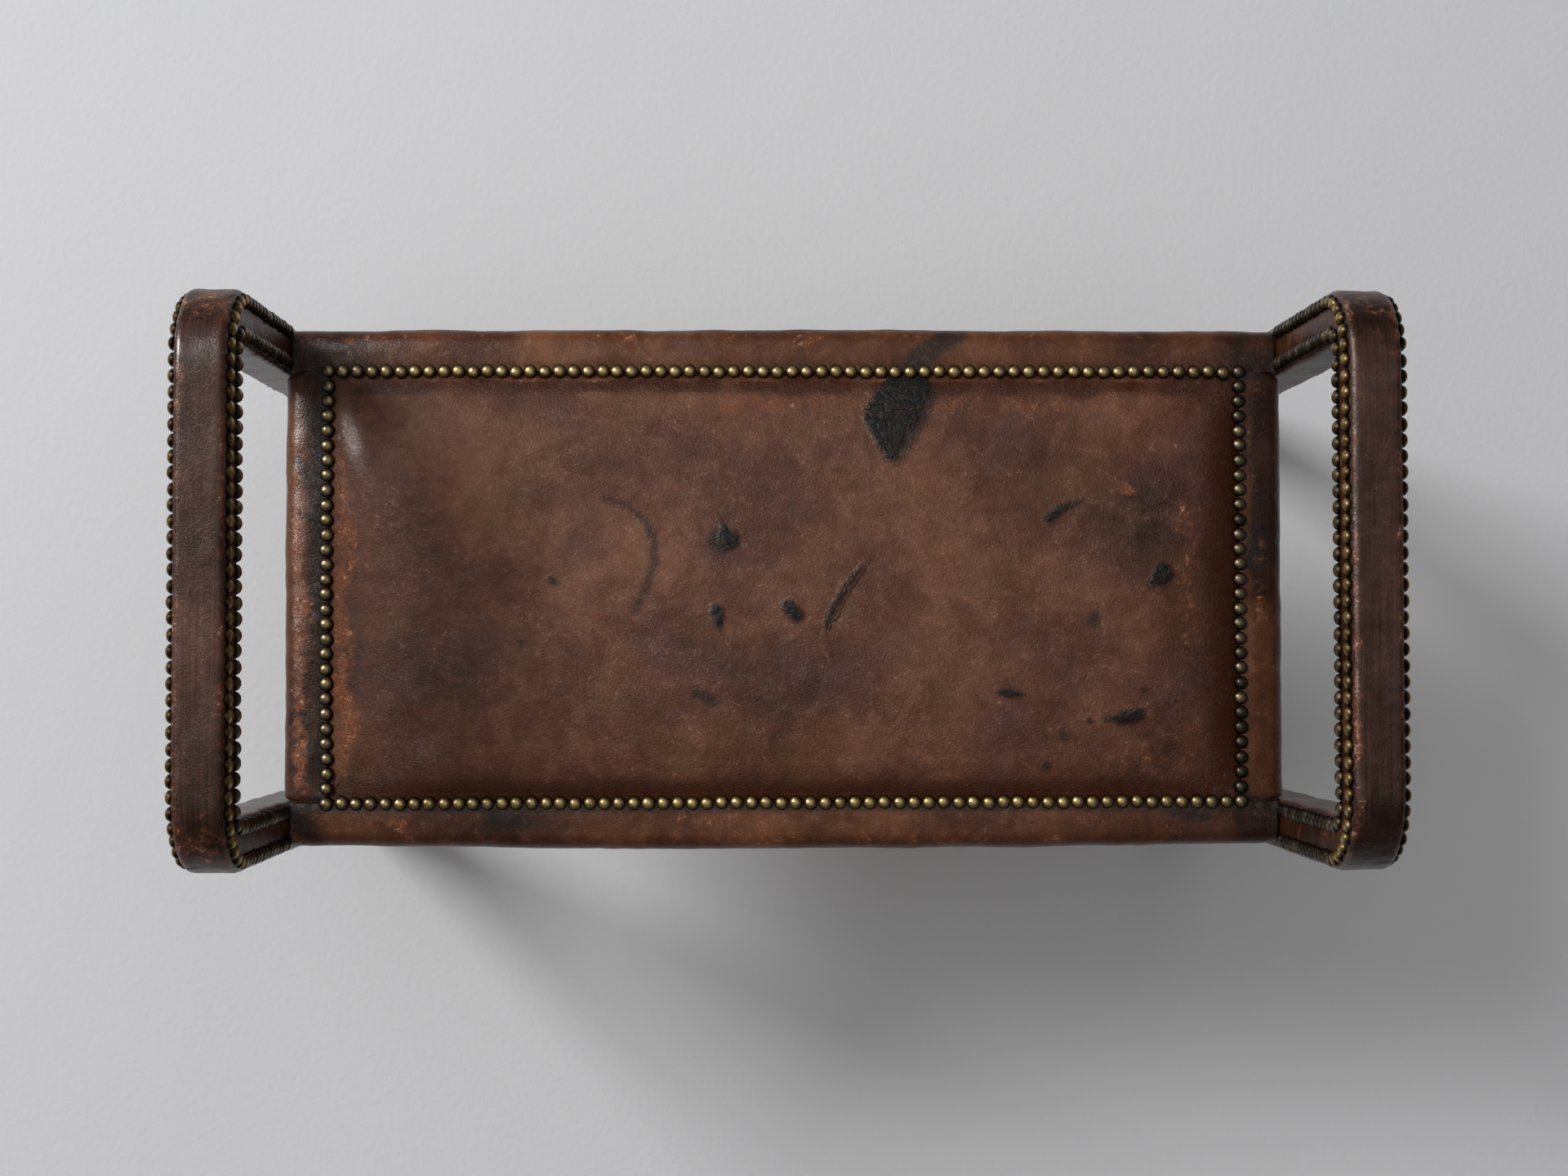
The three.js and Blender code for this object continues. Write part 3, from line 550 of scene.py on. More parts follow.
def blotDistance(along, across, blots):
    # Distance past the edge of the nearest blot, negative inside it. A blot is a run of circles.
    nearest = np.full(np.broadcast(along, across).shape, farOff)
    for run in blots:
        for (x0, y0, r0), (x1, y1, r1) in zip(run, run[1:] or run):
            length2 = max((x1 - x0) ** 2 + (y1 - y0) ** 2, 1e-6)
            way = np.clip(((along - x0) * (x1 - x0) + (across - y0) * (y1 - y0)) / length2, 0, 1)
            away = np.hypot(along - x0 - way * (x1 - x0), across - y0 - way * (y1 - y0))
            nearest = np.minimum(nearest, away - r0 - way * (r1 - r0))
    return nearest


# Meshes
def gridFaces(rows, columns, start=0):
    # Quads between neighbouring points of a grid that is stored row by row
    row, column = meshed(np.arange(rows - 1), np.arange(columns - 1))
    corner = start + row * columns + column
    return stacked(corner, corner + 1, corner + columns + 1, corner + columns).reshape(-1, 4)


def shellBetween(outer, inner):
    # Closed body between two grids of the same size: both faces, and a rim round their edges
    rows, columns = outer.shape[:2]
    count = rows * columns
    index = np.arange(count).reshape(rows, columns)
    rim = np.concatenate([index[0, :-1], index[:-1, -1], index[-1, :0:-1], index[:0:-1, 0]])
    following = np.roll(rim, -1)
    sides = stacked(following, rim, rim + count, following + count)
    faces = [gridFaces(rows, columns), gridFaces(rows, columns, count)[:, ::-1], sides]
    return np.concatenate([outer.reshape(-1, 3), inner.reshape(-1, 3)]), faces


def enclosedVolume(points, faces):
    # Six times the sum of the tetrahedra from the origin to each face's fan of triangles
    volume = 0.0
    for group in faces:
        first = points[group[:, 0]]
        for corner in range(1, group.shape[1] - 1):
            pair = np.cross(points[group[:, corner]], points[group[:, corner + 1]])
            volume += np.einsum('ij,ij->', first, pair)
    return volume


def makePiece(name, points, faces, material, values=None, surface=None, sharp=50):
    # Points in millimetres and groups of faces, turned round where they enclose less than nothing.
    # Edges sharper than that many degrees stay sharp.
    if enclosedVolume(points, faces) < 0:
        faces = [group[:, ::-1] for group in faces]
    corners = np.concatenate([group.ravel() for group in faces]).astype(np.int32)
    sizes = np.concatenate([np.full(len(group), group.shape[1]) for group in faces])
    starts = np.concatenate([[0], np.cumsum(sizes)[:-1]]).astype(np.int32)
    mesh = bpy.data.meshes.new(name)
    mesh.vertices.add(len(points))
    mesh.vertices.foreach_set('co', (points * mm).astype(np.float32).ravel())
    mesh.loops.add(len(corners))
    mesh.loops.foreach_set('vertex_index', corners)
    mesh.polygons.add(len(sizes))
    mesh.polygons.foreach_set('loop_start', starts)
    mesh.update(calc_edges=True)
    mesh.validate()
    if surface is not None:
        layer = mesh.uv_layers.new(name='surface')
        layer.data.foreach_set('uv', (surface[corners] * mm).astype(np.float32).ravel())
    for key, value in (values or {}).items():
        attribute = mesh.attributes.new(key, 'FLOAT', 'POINT')
        attribute.data.foreach_set('value', np.asarray(value, np.float32).ravel())
    mesh.shade_smooth()
    mesh.set_sharp_from_angle(angle=math.radians(sharp))
    mesh.materials.append(material)
    piece = bpy.data.objects.new(name, mesh)
    bpy.context.scene.collection.objects.link(piece)
    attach(piece, 'root')
    return piece


def hidePiece(name, outer, inner, look, fields, along, across, replaced):
    # A leather piece from its two faces; both faces share the fields and the map
    points, faces = shellBetween(outer, inner)
    shape = outer.shape[:2]
    fields = {'stain': farOff, 'smudge': farOff, **fields}
    values = {key: np.tile(np.broadcast_to(value, shape).ravel(), 2) for key, value in fields.items()}
    surface = stacked(np.broadcast_to(along, shape).ravel(), np.broadcast_to(across, shape).ravel())
    piece = makePiece(name, points, faces, hides[look], values, np.tile(surface, (2, 1)))
    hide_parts(replaced)
    return piece


# End frames: what the leather of one frame measures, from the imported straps
binding = {
    'leather': 2.0,
    'lip': 6.85,            # strap leather on the sides of the bar
    'edge': 5.0,            # long edges of the bar
    'handleCorner': 50.0,
    'openingCorner': 4.0,
    'lump': 0.28,           # unevenness of the straps
    'stripSwell': 0.45,
    'stripLump': 0.16,
    'nailInset': 7.0,       # nail rows from the edge of the bar
    'nailPitch': 9.7,
    'nailScale': 0.96,      # the frames' nails beside the seat's
    'nailSunk': 0.15,
    # The inner row's high dullness, and the nails going dull low on the legs, are painted shade set
    # as dull tones.
    'rowEnd': 4.5,          # a row's last nail over the foot
    'rowDullAndShade': (0.15, 0.75),    # how dull the outer and the inner row are
    'shadedBelow': (500, 545),    # nails go to quite dull from the second height to the first
    'clearTop': 2.5,        # how far the inner face's nails may come down into the seat's swell
    'press': 0.30,          # how far the nails press the strap's edges in
    # a fold across each outer strap: where along it, slant, reach and depth
    'crease': (536, 0.25, 1.3, 0.55),
    # a joint in the left inner strip: height over the floor, reach, depth and dirt
    'joint': (459.0, 1.1, 0.8, 1.2),
}
strapWear = {
    'edge': (0.40, 2.6),    # how worn the long edges are, and over what reach
    'ragged': (0.75, 0.45, 55),     # the worn share's middle, its unevenness and that one's length
    'lip': 0.9,             # dirt under the nails
    'foot': (0.55, 60),     # dirt on the floor, and the height that it reaches
    'clouds': (0.25, 140),  # unevenness of the tone and its length
}
stripWear = {
    'dirt': (0.95, 0.75, 7.0),      # at the nails, what of it goes, and the distance it goes in
    'clouds': (0.35, 120),
    'worn': (0.12, 0.3, 45),
    'shine': 0.3,
    'darkEnd': (0.5, 440, 470, 100),    # the left inner strip's back leg, over the seat
}
strapLow, strapHigh = boxOf('right_outer_strap')
openLow, openHigh = boxOf('right_inner_strap')
footZ = strapLow[2]
barInner, barOuter = strapLow[0], strapHigh[0]
barMiddle, barWidth = (barInner + barOuter) / 2, barOuter - barInner
outside = {'half': strapHigh[1], 'top': strapHigh[2], 'corner': binding['handleCorner']}
opening = {
    'half': openHigh[1] - binding['lip'], 'top': openHigh[2] - binding['lip'],
    'corner': binding['openingCorner'],
}


def grownPath(path, by):
    # The same upside-down U, further out by that much
    return {key: value + by for key, value in path.items()}


def uPath(s, path, foot):
    # A point at arc length s on an upside-down U: up, a quarter turn, across, a quarter turn, down.
    # Each stretch takes its own share of s, clipped to its length. Also gives the outward direction.
    half, top, corner = path['half'], path['top'], path['corner']
    leg, turn, rail = top - corner - foot, np.pi / 2 * corner, 2 * (half - corner)
    up = np.clip(s, 0, leg)
    first = np.clip(s - leg, 0, turn) / corner
    over = np.clip(s - leg - turn, 0, rail)
    second = np.clip(s - leg - turn - rail, 0, turn) / corner
    down = np.clip(s - leg - 2 * turn - rail, 0, leg)
    y = -half + corner * (1 - np.cos(first)) + over + corner * np.sin(second)
    z = foot + up + corner * np.sin(first) - corner * (1 - np.cos(second)) - down
    angle = np.pi - first - second
    return y, z, np.cos(angle), np.sin(angle)


def uBreaks(path, foot):
    # Arc lengths where the stretches of the U begin and end
    leg, turn = path['top'] - path['corner'] - foot, np.pi / 2 * path['corner']
    rail = 2 * (path['half'] - path['corner'])
    return np.cumsum([0, leg, turn, rail, turn, leg])


def pathPlaces(path, step, cornerSteps):
    # Arc lengths a step apart, with extra ones round both corners and none too close together
    closest = 0.15
    breaks = uBreaks(path, footZ)
    even = np.linspace(0, breaks[-1], int(round(breaks[-1] / step)) + 1)
    turns = [np.linspace(breaks[i], breaks[i + 1], cornerSteps + 1) for i in (1, 3)]
    places = np.sort(np.concatenate([even, *turns]))
    return places[np.concatenate([[True], np.diff(places) > closest])]


def strapCrossing():
    # Arc lengths across a strap: lip, rounded edge, face, rounded edge, lip
    section = {'half': barWidth / 2, 'top': 0.0, 'corner': binding['edge']}
    breaks = uBreaks(section, -binding['lip'])
    steps = (3, 7, 12, 7, 3)
    parts = [np.linspace(a, b, n, endpoint=False) for a, b, n in zip(breaks, breaks[1:], steps)]
    return section, np.concatenate([*parts, breaks[-1:]])


strapMarks = {
    # along the strap from the front foot, across from its middle, reach, reach, amount, degrees
    'left': {
        # The deepest tone marks, near 550 and 905 along the strap, are painted shade where it turns
        # down at the handle's corners.
        'tone': [(800, 0, 60, 14, -0.35), (905, 0, 26, 24, -1.9), (550, 0, 30, 24, -1.1),
                 (655, 0, 50, 20, 0.15)],
        'shine': [(861, -3, 15, 13, 1.6), (864, -13, 20, 3, 0.8), (780, -13.5, 120, 2.5, 0.25)],
        'worn': [(835, -10, 22, 4, 0.35, 10), (550, 2, 26, 14, 0.45), (896, 0, 26, 18, 0.54)],
    },
    'right': {
        # As on the left, the deep tone marks near 550 and 905 are painted shade at the turn-downs.
        'tone': [(730, 0, 260, 18, -0.30), (550, 0, 32, 24, -2.0), (905, 0, 32, 24, -2.2)],
        'shine': [(730, -14.5, 200, 2.5, 0.8)],
        'worn': [(545, 4, 24, 14, 0.15), (898, 0, 26, 18, 0.35), (640, -14, 60, 3, 0.4)],
    },
}


def strapFields(s, crossing, marks, path, seed):
    # Worn in a bell along the long edges, dirty under the nails and towards the floor
    across = crossing - crossing.mean()
    fromEdge = np.abs(across) - barWidth / 2
    worn, reach = strapWear['edge']
    middle, spread, length = strapWear['ragged']
    worn = worn * bell(fromEdge + binding['edge'] / 2, reach) \
        * (middle + spread * unevenness(s, crossing * 0, length, seed))
    dirt, high = strapWear['foot']
    low = smooth(np.minimum(s, uBreaks(path, footZ)[-1] - s), 0, high)
    clouds, length = strapWear['clouds']
    tone = clouds * unevenness(s, crossing, length, seed + 1)
    return {
        'worn': worn + spots(s, across, marks.get('worn', [])),
        'tone': tone + spots(s, across, marks.get('tone', [])),
        'shine': spots(s, across, marks.get('shine', [])),
        'grime': np.maximum(strapWear['lip'] * smooth(fromEdge, -0.4, 4), dirt * (1 - low)),
    }


def addStrap(sideName, side, role, seed):
    # A channel: the crossing's U carried along the frame's U, its face turned outwards or inwards.
    # Its face is uneven, and a cosine wave along it presses its lips in at each nail.
    path, facing, cornerSteps = (outside, 1, 34) if role == 'outer' else (opening, -1, 8)
    section, cross = strapCrossing()
    pitch = binding['nailPitch']
    s, q = meshed(pathPlaces(path, pitch / 4, cornerSteps), cross)
    y, z, outY, outZ = uPath(s, path, footZ)
    x, height, outX, outUp = uPath(q, section, -binding['lip'])
    lump = binding['lump'] * (unevenness(s, q, 70, seed) + 0.35 * unevenness(s, q, 17, seed + 1))
    lipDeep = smooth(-height, 1.5, binding['lip'])
    pressed = binding['press'] * lipDeep * (0.55 + 0.45 * np.cos(2 * np.pi * s / pitch))
    face = smooth(outUp, 0.2, 1.0)
    swell = lump * (0.35 + 0.65 * face) * (1 - lipDeep) - pressed
    if role == 'outer':
        middle, slant, reach, depth = binding['crease']
        crease = bell(s - middle - slant * x, reach) * smooth(side * x, -2, 8)
        swell = swell - depth * crease * face

    def faceAt(inset):
        across, up = x + (swell - inset) * outX, facing * (height + (swell - inset) * outUp)
        return stacked(side * barMiddle + across, y + up * outY, z + up * outZ)

    fields = strapFields(s, q, strapMarks[sideName] if role == 'outer' else {}, path, seed + 2)
    hidePiece(f'{sideName}_{role}_strap_leather', faceAt(0), faceAt(binding['leather']),
              'strapHide', fields, s, q, f'{sideName}_{role}_strap')


def stripEdges():
    # The two long edges of a side strip, matched leg to leg, corner to corner and rail to rail
    upper, lower = grownPath(outside, -binding['lip']), grownPath(opening, binding['lip'])
    upperBreaks, lowerBreaks = uBreaks(upper, footZ), uBreaks(lower, footZ)
    legEnd, whole = upperBreaks[1], lowerBreaks[-1]
    rail = upperBreaks[3] - upperBreaks[2]
    turnEnd = lowerBreaks[2] + (lower['half'] - lower['corner']) - (upper['half'] - upper['corner'])
    matched = np.array([0, legEnd, turnEnd, turnEnd + rail, whole - legEnd, whole])
    return upper, lower, upperBreaks, matched


def addStrip(sideName, side, role, seed):
    # Ruled between the two edges, and swollen by half a sine wave between the nail rows
    upper, lower, upperBreaks, lowerBreaks = stripEdges()
    s, t = meshed(pathPlaces(upper, binding['nailPitch'] / 3, 24), np.linspace(0, 1, 11))
    y0, z0, _, _ = uPath(s, upper, footZ)
    y1, z1, _, _ = uPath(np.interp(s, upperBreaks, lowerBreaks), lower, footZ)
    y, z = y0 + (y1 - y0) * t, z0 + (z1 - z0) * t
    across = t * (upper['half'] - lower['half'])
    swell = binding['stripSwell'] * np.sin(np.pi * t)
    swell = swell + binding['stripLump'] * unevenness(s, across, 26, seed)
    dirt, going, reach = stripWear['dirt']
    grime = dirt - going * smooth(np.minimum(across, across.max() - across), 1.0, reach)
    clouds, length = stripWear['clouds']
    tone = clouds * unevenness(s, across, length, seed + 1)
    if role == 'inner' and sideName == 'left':
        height, reach, depth, dirt = binding['joint']
        joint = bell(z - height, reach) * (y > 0)
        swell = swell - depth * joint
        grime = np.maximum(grime, dirt * joint)
        darker, low, high, behind = stripWear['darkEnd']
        tone = tone - darker * smooth(z, low, high) * (y > behind)
    outward = side if role == 'outer' else -side
    faceX = side * (barOuter if role == 'outer' else barInner)

    def faceAt(inset):
        return stacked(faceX + outward * (swell - inset), y, z)

    worn, spread, length = stripWear['worn']
    worn = worn + spread * np.clip(unevenness(s, across, length, seed + 3), 0, 1)
    fields = {'grime': grime, 'tone': tone, 'worn': worn, 'shine': stripWear['shine']}
    hidePiece(f'{sideName}_{role}_strip_leather', faceAt(0), faceAt(binding['leather']),
              'stripHide', fields, s, across, f'{sideName}_{role}_side_strip')


# Nails
nail = {
    'radius': 4.96,
    'height': 4.1,
    'sides': 12,
    'rings': (-4, 17, 41, 68),      # degrees
    'fullness': 0.78,
    'tilt': 0.07,                   # spreads of the seeded differences
    'shift': 0.20,
    'growth': 0.018,
    'toneSpread': 0.14,
}


def nailForm():
    # A dome on rings of points: radius and height go as the cosine and sine of the ring's angle,
    # the cosine raised to a power below one, which makes the dome fuller than a ball's cap
    sides, climb = nail['sides'], np.radians(nail['rings'])
    radius = nail['radius'] * np.cos(climb) ** nail['fullness']
    height = nail['height'] * np.sin(climb)
    around = np.arange(sides)
    following = np.roll(around, -1)
    turn = 2 * np.pi * around / sides
    rings = stacked(radius[:, None] * np.cos(turn), radius[:, None] * np.sin(turn),
                    np.repeat(height[:, None], sides, 1)).reshape(-1, 3)
    points = np.concatenate([rings, [[0, 0, nail['height']]]])
    last = len(climb) - 1
    bands = [stacked(i * sides + around, i * sides + following,
                     (i + 1) * sides + following, (i + 1) * sides + around) for i in range(last)]
    cap = stacked(last * sides + around, last * sides + following, np.full(sides, len(rings)))
    crown = np.append(np.repeat(np.sin(climb), sides), 1.0)
    return points, (np.concatenate(bands), cap, around[None, ::-1]), crown


def addNails(name, centres, outward, seed, dull=0.5, material=antiqueBrass,
             scale=1.0):
    # The same dome at every centre, each a little tilted, turned and pushed aside
    chance = np.random.default_rng(seed)
    form, faces, crown = nailForm()
    count, size = len(centres), len(form)
    upward = (0, 0, 1) if outward[0] else (0, 1, 0)
    outward = np.broadcast_to(outward, (count, 3)).astype(float)
    upward = np.broadcast_to(upward, (count, 3)).astype(float)
    aside = np.cross(outward, upward)
    lean = chance.normal(0, nail['tilt'], (count, 2, 1))
    axis = outward + lean[:, 0] * upward + lean[:, 1] * aside
    axis /= np.linalg.norm(axis, axis=1, keepdims=True)
    first = np.cross(axis, aside)
    first /= np.linalg.norm(first, axis=1, keepdims=True)
    second = np.cross(axis, first)
    push = chance.normal(0, nail['shift'], (count, 2, 1))
    centres = centres + push[:, 0] * upward + push[:, 1] * aside
    grow = scale * chance.normal(1, nail['growth'], (count, 1, 1))
    points = centres[:, None] + grow * (
        form[None, :, :1] * first[:, None] + form[None, :, 1:2] * second[:, None]
        + form[None, :, 2:] * axis[:, None])
    starts = np.arange(count)[:, None, None] * size
    faces = [(group[None] + starts).reshape(-1, group.shape[1]) for group in faces]
    spread = nail['toneSpread']
    own = np.clip(dull + chance.uniform(-spread, spread, count), 0, 1)
    values = {'crown': np.tile(crown, count), 'ownTone': np.repeat(own, size)}
    makePiece(name, points.reshape(-1, 3), faces, material, values, sharp=80)


seatLow, seatHigh = boxOf('right_border_leather')
seatUnder, seatTop = seatLow[2], boxOf('front_border_leather')[1][2]


def addFrameNails(sideName, side, role, seed):
    # Two rows round the face of a frame. On the inner face the seat's ends leave no room for them.
    centres, dulledAndShaded = [], []
    inset, end = binding['nailInset'], binding['rowEnd']
    for path, dull in zip((grownPath(outside, -inset), grownPath(opening, inset)),
                          binding['rowDullAndShade']):
        whole = uBreaks(path, footZ)[-1]
        count = int(round((whole - 2 * end) / binding['nailPitch'])) + 1
        y, z, _, _ = uPath(np.linspace(end, whole - end, count), path, footZ)
        if role == 'inner':
            clear = (z < seatUnder - nail['radius']) | (
                z > seatTop + nail['radius'] - binding['clearTop'])
            y, z = y[clear], z[clear]
        centres.append(stacked(np.zeros_like(y), y, z))
        # Low on the legs the nails get the dullest tone as painted shade
        dulledAndShaded.append(np.maximum(dull, 1 - smooth(z, *binding['shadedBelow'])))
    centres = np.concatenate(centres)
    outward = side if role == 'outer' else -side
    face = barOuter if role == 'outer' else barInner
    centres[:, 0] = side * face - binding['nailSunk'] * outward
    addNails(f'{sideName}_{role}_frame_nails', centres, (outward, 0, 0), seed,
             np.concatenate(dulledAndShaded), scale=binding['nailScale'])


for number, (sideName, side) in enumerate((('left', -1), ('right', 1))):
    for turnNumber, role in enumerate(('outer', 'inner')):
        seed = 100 * number + 10 * turnNumber
        addStrap(sideName, side, role, seed + 1)
        addStrip(sideName, side, role, seed + 4)
        addFrameNails(sideName, side, role, seed + 8)
print('end frames bound and nailed')


# Seat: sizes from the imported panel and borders
seat = {
    'lap': 5.0,              # panel leather under the borders
    'leather': 2.0,
    'nailPlane': 383.0,      # top of the leather at the nail line, over the floor
    'roll': 12.0,            # radius of the borders' rolled edge
    'wrap': 3.0,
    'turnUnder': 20.0,
    'swell': 0.6,
    'frontBow': 3.0,
    'backBow': 1.0,
    'bulge': 4.1,
    'bulgeReach': 4.0,
    'gap': 0.3,
    'legGap': 0.8,           # between a long border's end and the leg
    'foldedEnd': 2.0,        # rounding of a border's end beside a leg
    'cutEnd': 0.3,           # rounding where one border meets the next
    'seam': 0.12,            # between an end border and the long borders
    'rollRise': 10.4,        # the panel's climb inside the nail line
    'rollWidth': 29.0,
    'endWidth': 62.0,        # the same from the long sides, at the panel's ends
    'endReach': (80, 15),    # the ends begin and are full that far inside the nail line
    'domeRise': 6.0,
    'nailsAlong': 63,
    'nailsAcross': 30,
    'nailSunk': 0.5,
    'backLean': 5.2,         # how far the long nail rows lean to the left in their middles
    'frontLean': 3.2,
    'leftBow': 1.2,          # how far the left nail row bows out
    'endRail': 28.5,         # reach of a section whose inner face lies on the end rail
    'feltGap': 0.7,          # between the leather and its wadding
    'feltInner': 4.7,        # the wadding's inner face, in from the rail's own section
    'feltFrom': 0.38,        # stretches of the section that the wadding covers
    'feltTo': 2.985,
    'feltShort': 4.0,        # the wadding's ends, in from the long and the short borders' ends
    'endFeltShort': 5.0,
}
panelLow, panelHigh = boxOf('seat_panel_leather')
nailX, nailY = panelHigh[0] - seat['lap'], panelHigh[1] - seat['lap']
pitchX, pitchY = 2 * nailX / (seat['nailsAlong'] - 1), 2 * nailY / (seat['nailsAcross'] - 1)
nailPlane = seat['nailPlane']
panelFoot = nailPlane - seat['leather'] - seat['gap']
frontReach = -boxOf('front_border_leather')[0][1] - nailY - seat['frontBow']
endReach = seatHigh[0] - nailX - seat['bulge']

panelMarks = {
    # along X, along Y, reach, reach, amount, degrees; blots and smudges are runs of circles, each
    # with its place and radius
    # The dark tone marks along the front roll and over the right end are painted shade on rolls that
    # face away from the light.
    'tone': [(-97, 35, 50, 55, 0.55), (97, -5, 42, 85, 0.42), (5, -62, 70, 42, -0.55),
             (-225, -60, 60, 70, -0.26), (228, 48, 34, 36, -0.3), (-250, 70, 45, 55, -0.15),
             (-240, 20, 30, 100, -0.25), (160, -40, 60, 60, 0.1), (225, -40, 30, 60, 0.2),
             (-40, 40, 25, 30, -0.3), (0, -140, 330, 16, -0.6), (0, 140, 330, 9, -0.5),
             (-292, -30, 9, 90, -0.6), (300, 0, 14, 150, -1.2), (268, 0, 26, 150, -0.6),
             (-217, 66, 34, 36, 1.5), (-250, 98, 30, 20, 0.5)],
    'worn': [(-300, 62, 5, 14, 0.6), (-297, 38, 7, 11, 0.7, 20), (-297, 12, 8, 15, 0.6, -15),
             (-302, -14, 5, 18, 0.5), (-297, -36, 8, 12, 0.6, 30), (-300, -58, 6, 14, 0.65, -20),
             (-296, -80, 8, 14, 0.72, 15), (-295, -102, 8, 14, 0.66, -25), (-300, -122, 6, 11, 0.56),
             (60, 124, 240, 7, 0.22), (-20, 118, 45, 12, 0.25, 10), (272, 10, 8, 110, 0.30),
             (230, 65, 4, 3.5, 1.1), (234, 64, 3, 3, 0.8), (240, -118, 40, 12, 0.25),
             (170, 115, 60, 12, 0.22), (-300, 82, 4, 9, 0.5)],
    'shine': [(-294.5, 106, 5.5, 25, 1.5, 13), (-252, 100, 34, 24, 0.45), (-298, 60, 4, 16, 0.5),
              (-290, -30, 13, 80, -1.1)],
    'blots': [
        [(84, 141, 14), (68, 117, 14.5)], [(67, 114, 14.5), (70, 100, 10.5), (71, 89, 4.5)],
        [(86, 138, 13), (77, 116, 13)],
        [(-38, 31, 7.4)], [(-38, 31, 6), (-45, 45, 0.6)],
        [(-46.5, -16.5, 5), (-45, -25, 3.6), (-43.5, -30, 0.6)],
        [(2, -14, 5.2), (7.5, -20, 5.4)],
        [(57, 18, 0.8), (46, 7, 2.4), (38, -5, 3.0), (32, -15, 3.0), (28, -25, 2.6), (26, -32, 0.8)],
        [(178, 46, 4.2), (186, 52, 3.4), (200, 57.5, 1.2)],
        [(255, 9, 7.0)], [(252, 6, 5), (243, -3, 0.6)],
        [(215, -90, 2.0), (225, -89.5, 3.4), (234, -88.5, 5.2), (238, -87, 4.8)], [(205, -91, 2.2)],
        [(143, -71.5, 2.6), (151, -72.5, 3.4), (160, -73, 1.4)],
        [(-158, 4.3, 2.4), (-154, 3.0, 2.0)], [(241, -70, 2.0)]],
    'smudges': [
        [(-122, 59, 0.4), (-106, 54, 0.9), (-94, 43, 1.4), (-88.5, 30, 1.8), (-88.5, 16, 1.9),
         (-93, 0, 1.2), (-102, -17, 0.8)],
        [(208, -22, 4)], [(188, -101, 2.6)], [(-54, -74, 3)], [(176, -122, 2.6)], [(-178, -38, 1.4)],
        [(90, 130, 12), (80, 107, 11), (74, 91, 8)],
        [(-60, -72, 3), (-48, -78, 2)], [(-44, 30, 8)], [(256, 6, 5)], [(228, -89, 4)]],
}
borderMarks = {
    # along the border, out from the nail line, reach, reach, amount, degrees
    'back': {
        'nailDirt': 0.38,
        'tone': [(-150, 14, 130, 14, 0.30), (-30, 14, 90, 14, 0.3), (150, 14, 160, 16, 0.12),
                 (-322, 8, 30, 14, -1.6), (322, 12, 24, 30, -1.5), (0, 5, 330, 3, -0.3)],
        'worn': [(-150, 17, 8, 5, 0.4), (-105, 19, 7, 6, 0.35), (10, 20, 12, 5, 0.6),
                 (-290, 23, 45, 4, 0.35), (0, 25, 330, 4, 0.22)],
        'shine': [(-300, 19, 36, 4, 1.1)],
        'blots': [[(8, 20.5, 2.2), (13, 22, 1.6)]],
        'smudges': [[(84, 3, 3), (92, 12, 5), (106, 20, 6), (118, 27, 6)], [(84, 0, 5), (100, 16, 7)],
                    [(108, 22, 7), (120, 40, 9)]],
    },
    'front': {
        'nailDirt': 0.62,
        'tone': [(-262, 14, 50, 14, -0.15), (-190, 14, 40, 14, -0.7), (-40, 14, 130, 14, 0.4),
                 (150, 14, 90, 14, 0.1), (290, 10, 40, 20, -0.7), (326, 12, 16, 40, -3.2),
                 (-326, 10, 16, 30, -1.2)],
        'worn': [(-270, 12, 40, 8, 0.35), (-50, 12, 60, 6, 0.3), (0, 25, 330, 4, 0.3),
                 (-335, 20, 6, 12, 0.7)],
        'shine': [(-330, 10, 8, 12, 0.8), (333, 14, 4, 12, 0.9)],
        'blots': [],
        'smudges': [[(262, 7, 2), (285, 10, 3)], [(-198, 9, 4), (-176, 13, 2)]],
    },
    'left': {
        'nailDirt': 0.9,
        'tone': [(88, 22, 44, 6, 0.8), (-85, 20, 45, 8, -0.9), (30, 9, 60, 7, -0.9),
                 (-40, 7, 60, 6, -0.9), (110, 8, 40, 10, -1.3), (-120, 8, 30, 9, -0.8)],
        'worn': [(-10, 19, 50, 6, 0.60), (-80, 20, 45, 6, 0.30), (60, 22, 50, 5, 0.45),
                 (-20, 9, 20, 5, 0.3), (-118, 18, 30, 7, 0.5)],
        'shine': [(100, 20.5, 40, 3.4, 1.3), (40, 21, 22, 4, 1.2), (-15, 21, 30, 4, 1.0),
                  (-60, 20, 14, 3, 0.6), (-140, 12, 8, 9, 1.0)],
        'blots': [[(-68, 15, 1.6)], [(-92, 11, 1.0)]],
        'smudges': [[(86, 20, 3), (70, 12, 3)], [(48, 10, 4)],
                    [(120, 3, 5), (60, 6, 5), (-20, 4, 4)]],
    },
    'right': {
        'nailDirt': 0.3,
        'tone': [(40, 18, 110, 12, -1.3), (-45, 18, 40, 12, 0.4), (20, 10, 25, 10, -0.8),
                 (110, 10, 40, 14, -0.9), (50, 6, 90, 3, 0.5)],
        'worn': [(30, 15, 5, 4, 0.6), (17, 12, 4, 4, 0.6), (-12, 13, 22, 5, 0.35),
                 (-60, 12, 22, 5, 0.25)],
        'shine': [],
        'blots': [],
        'smudges': [[(35, 13, 6), (18, 10, 6)], [(60, 14, 3)]],
    },
}


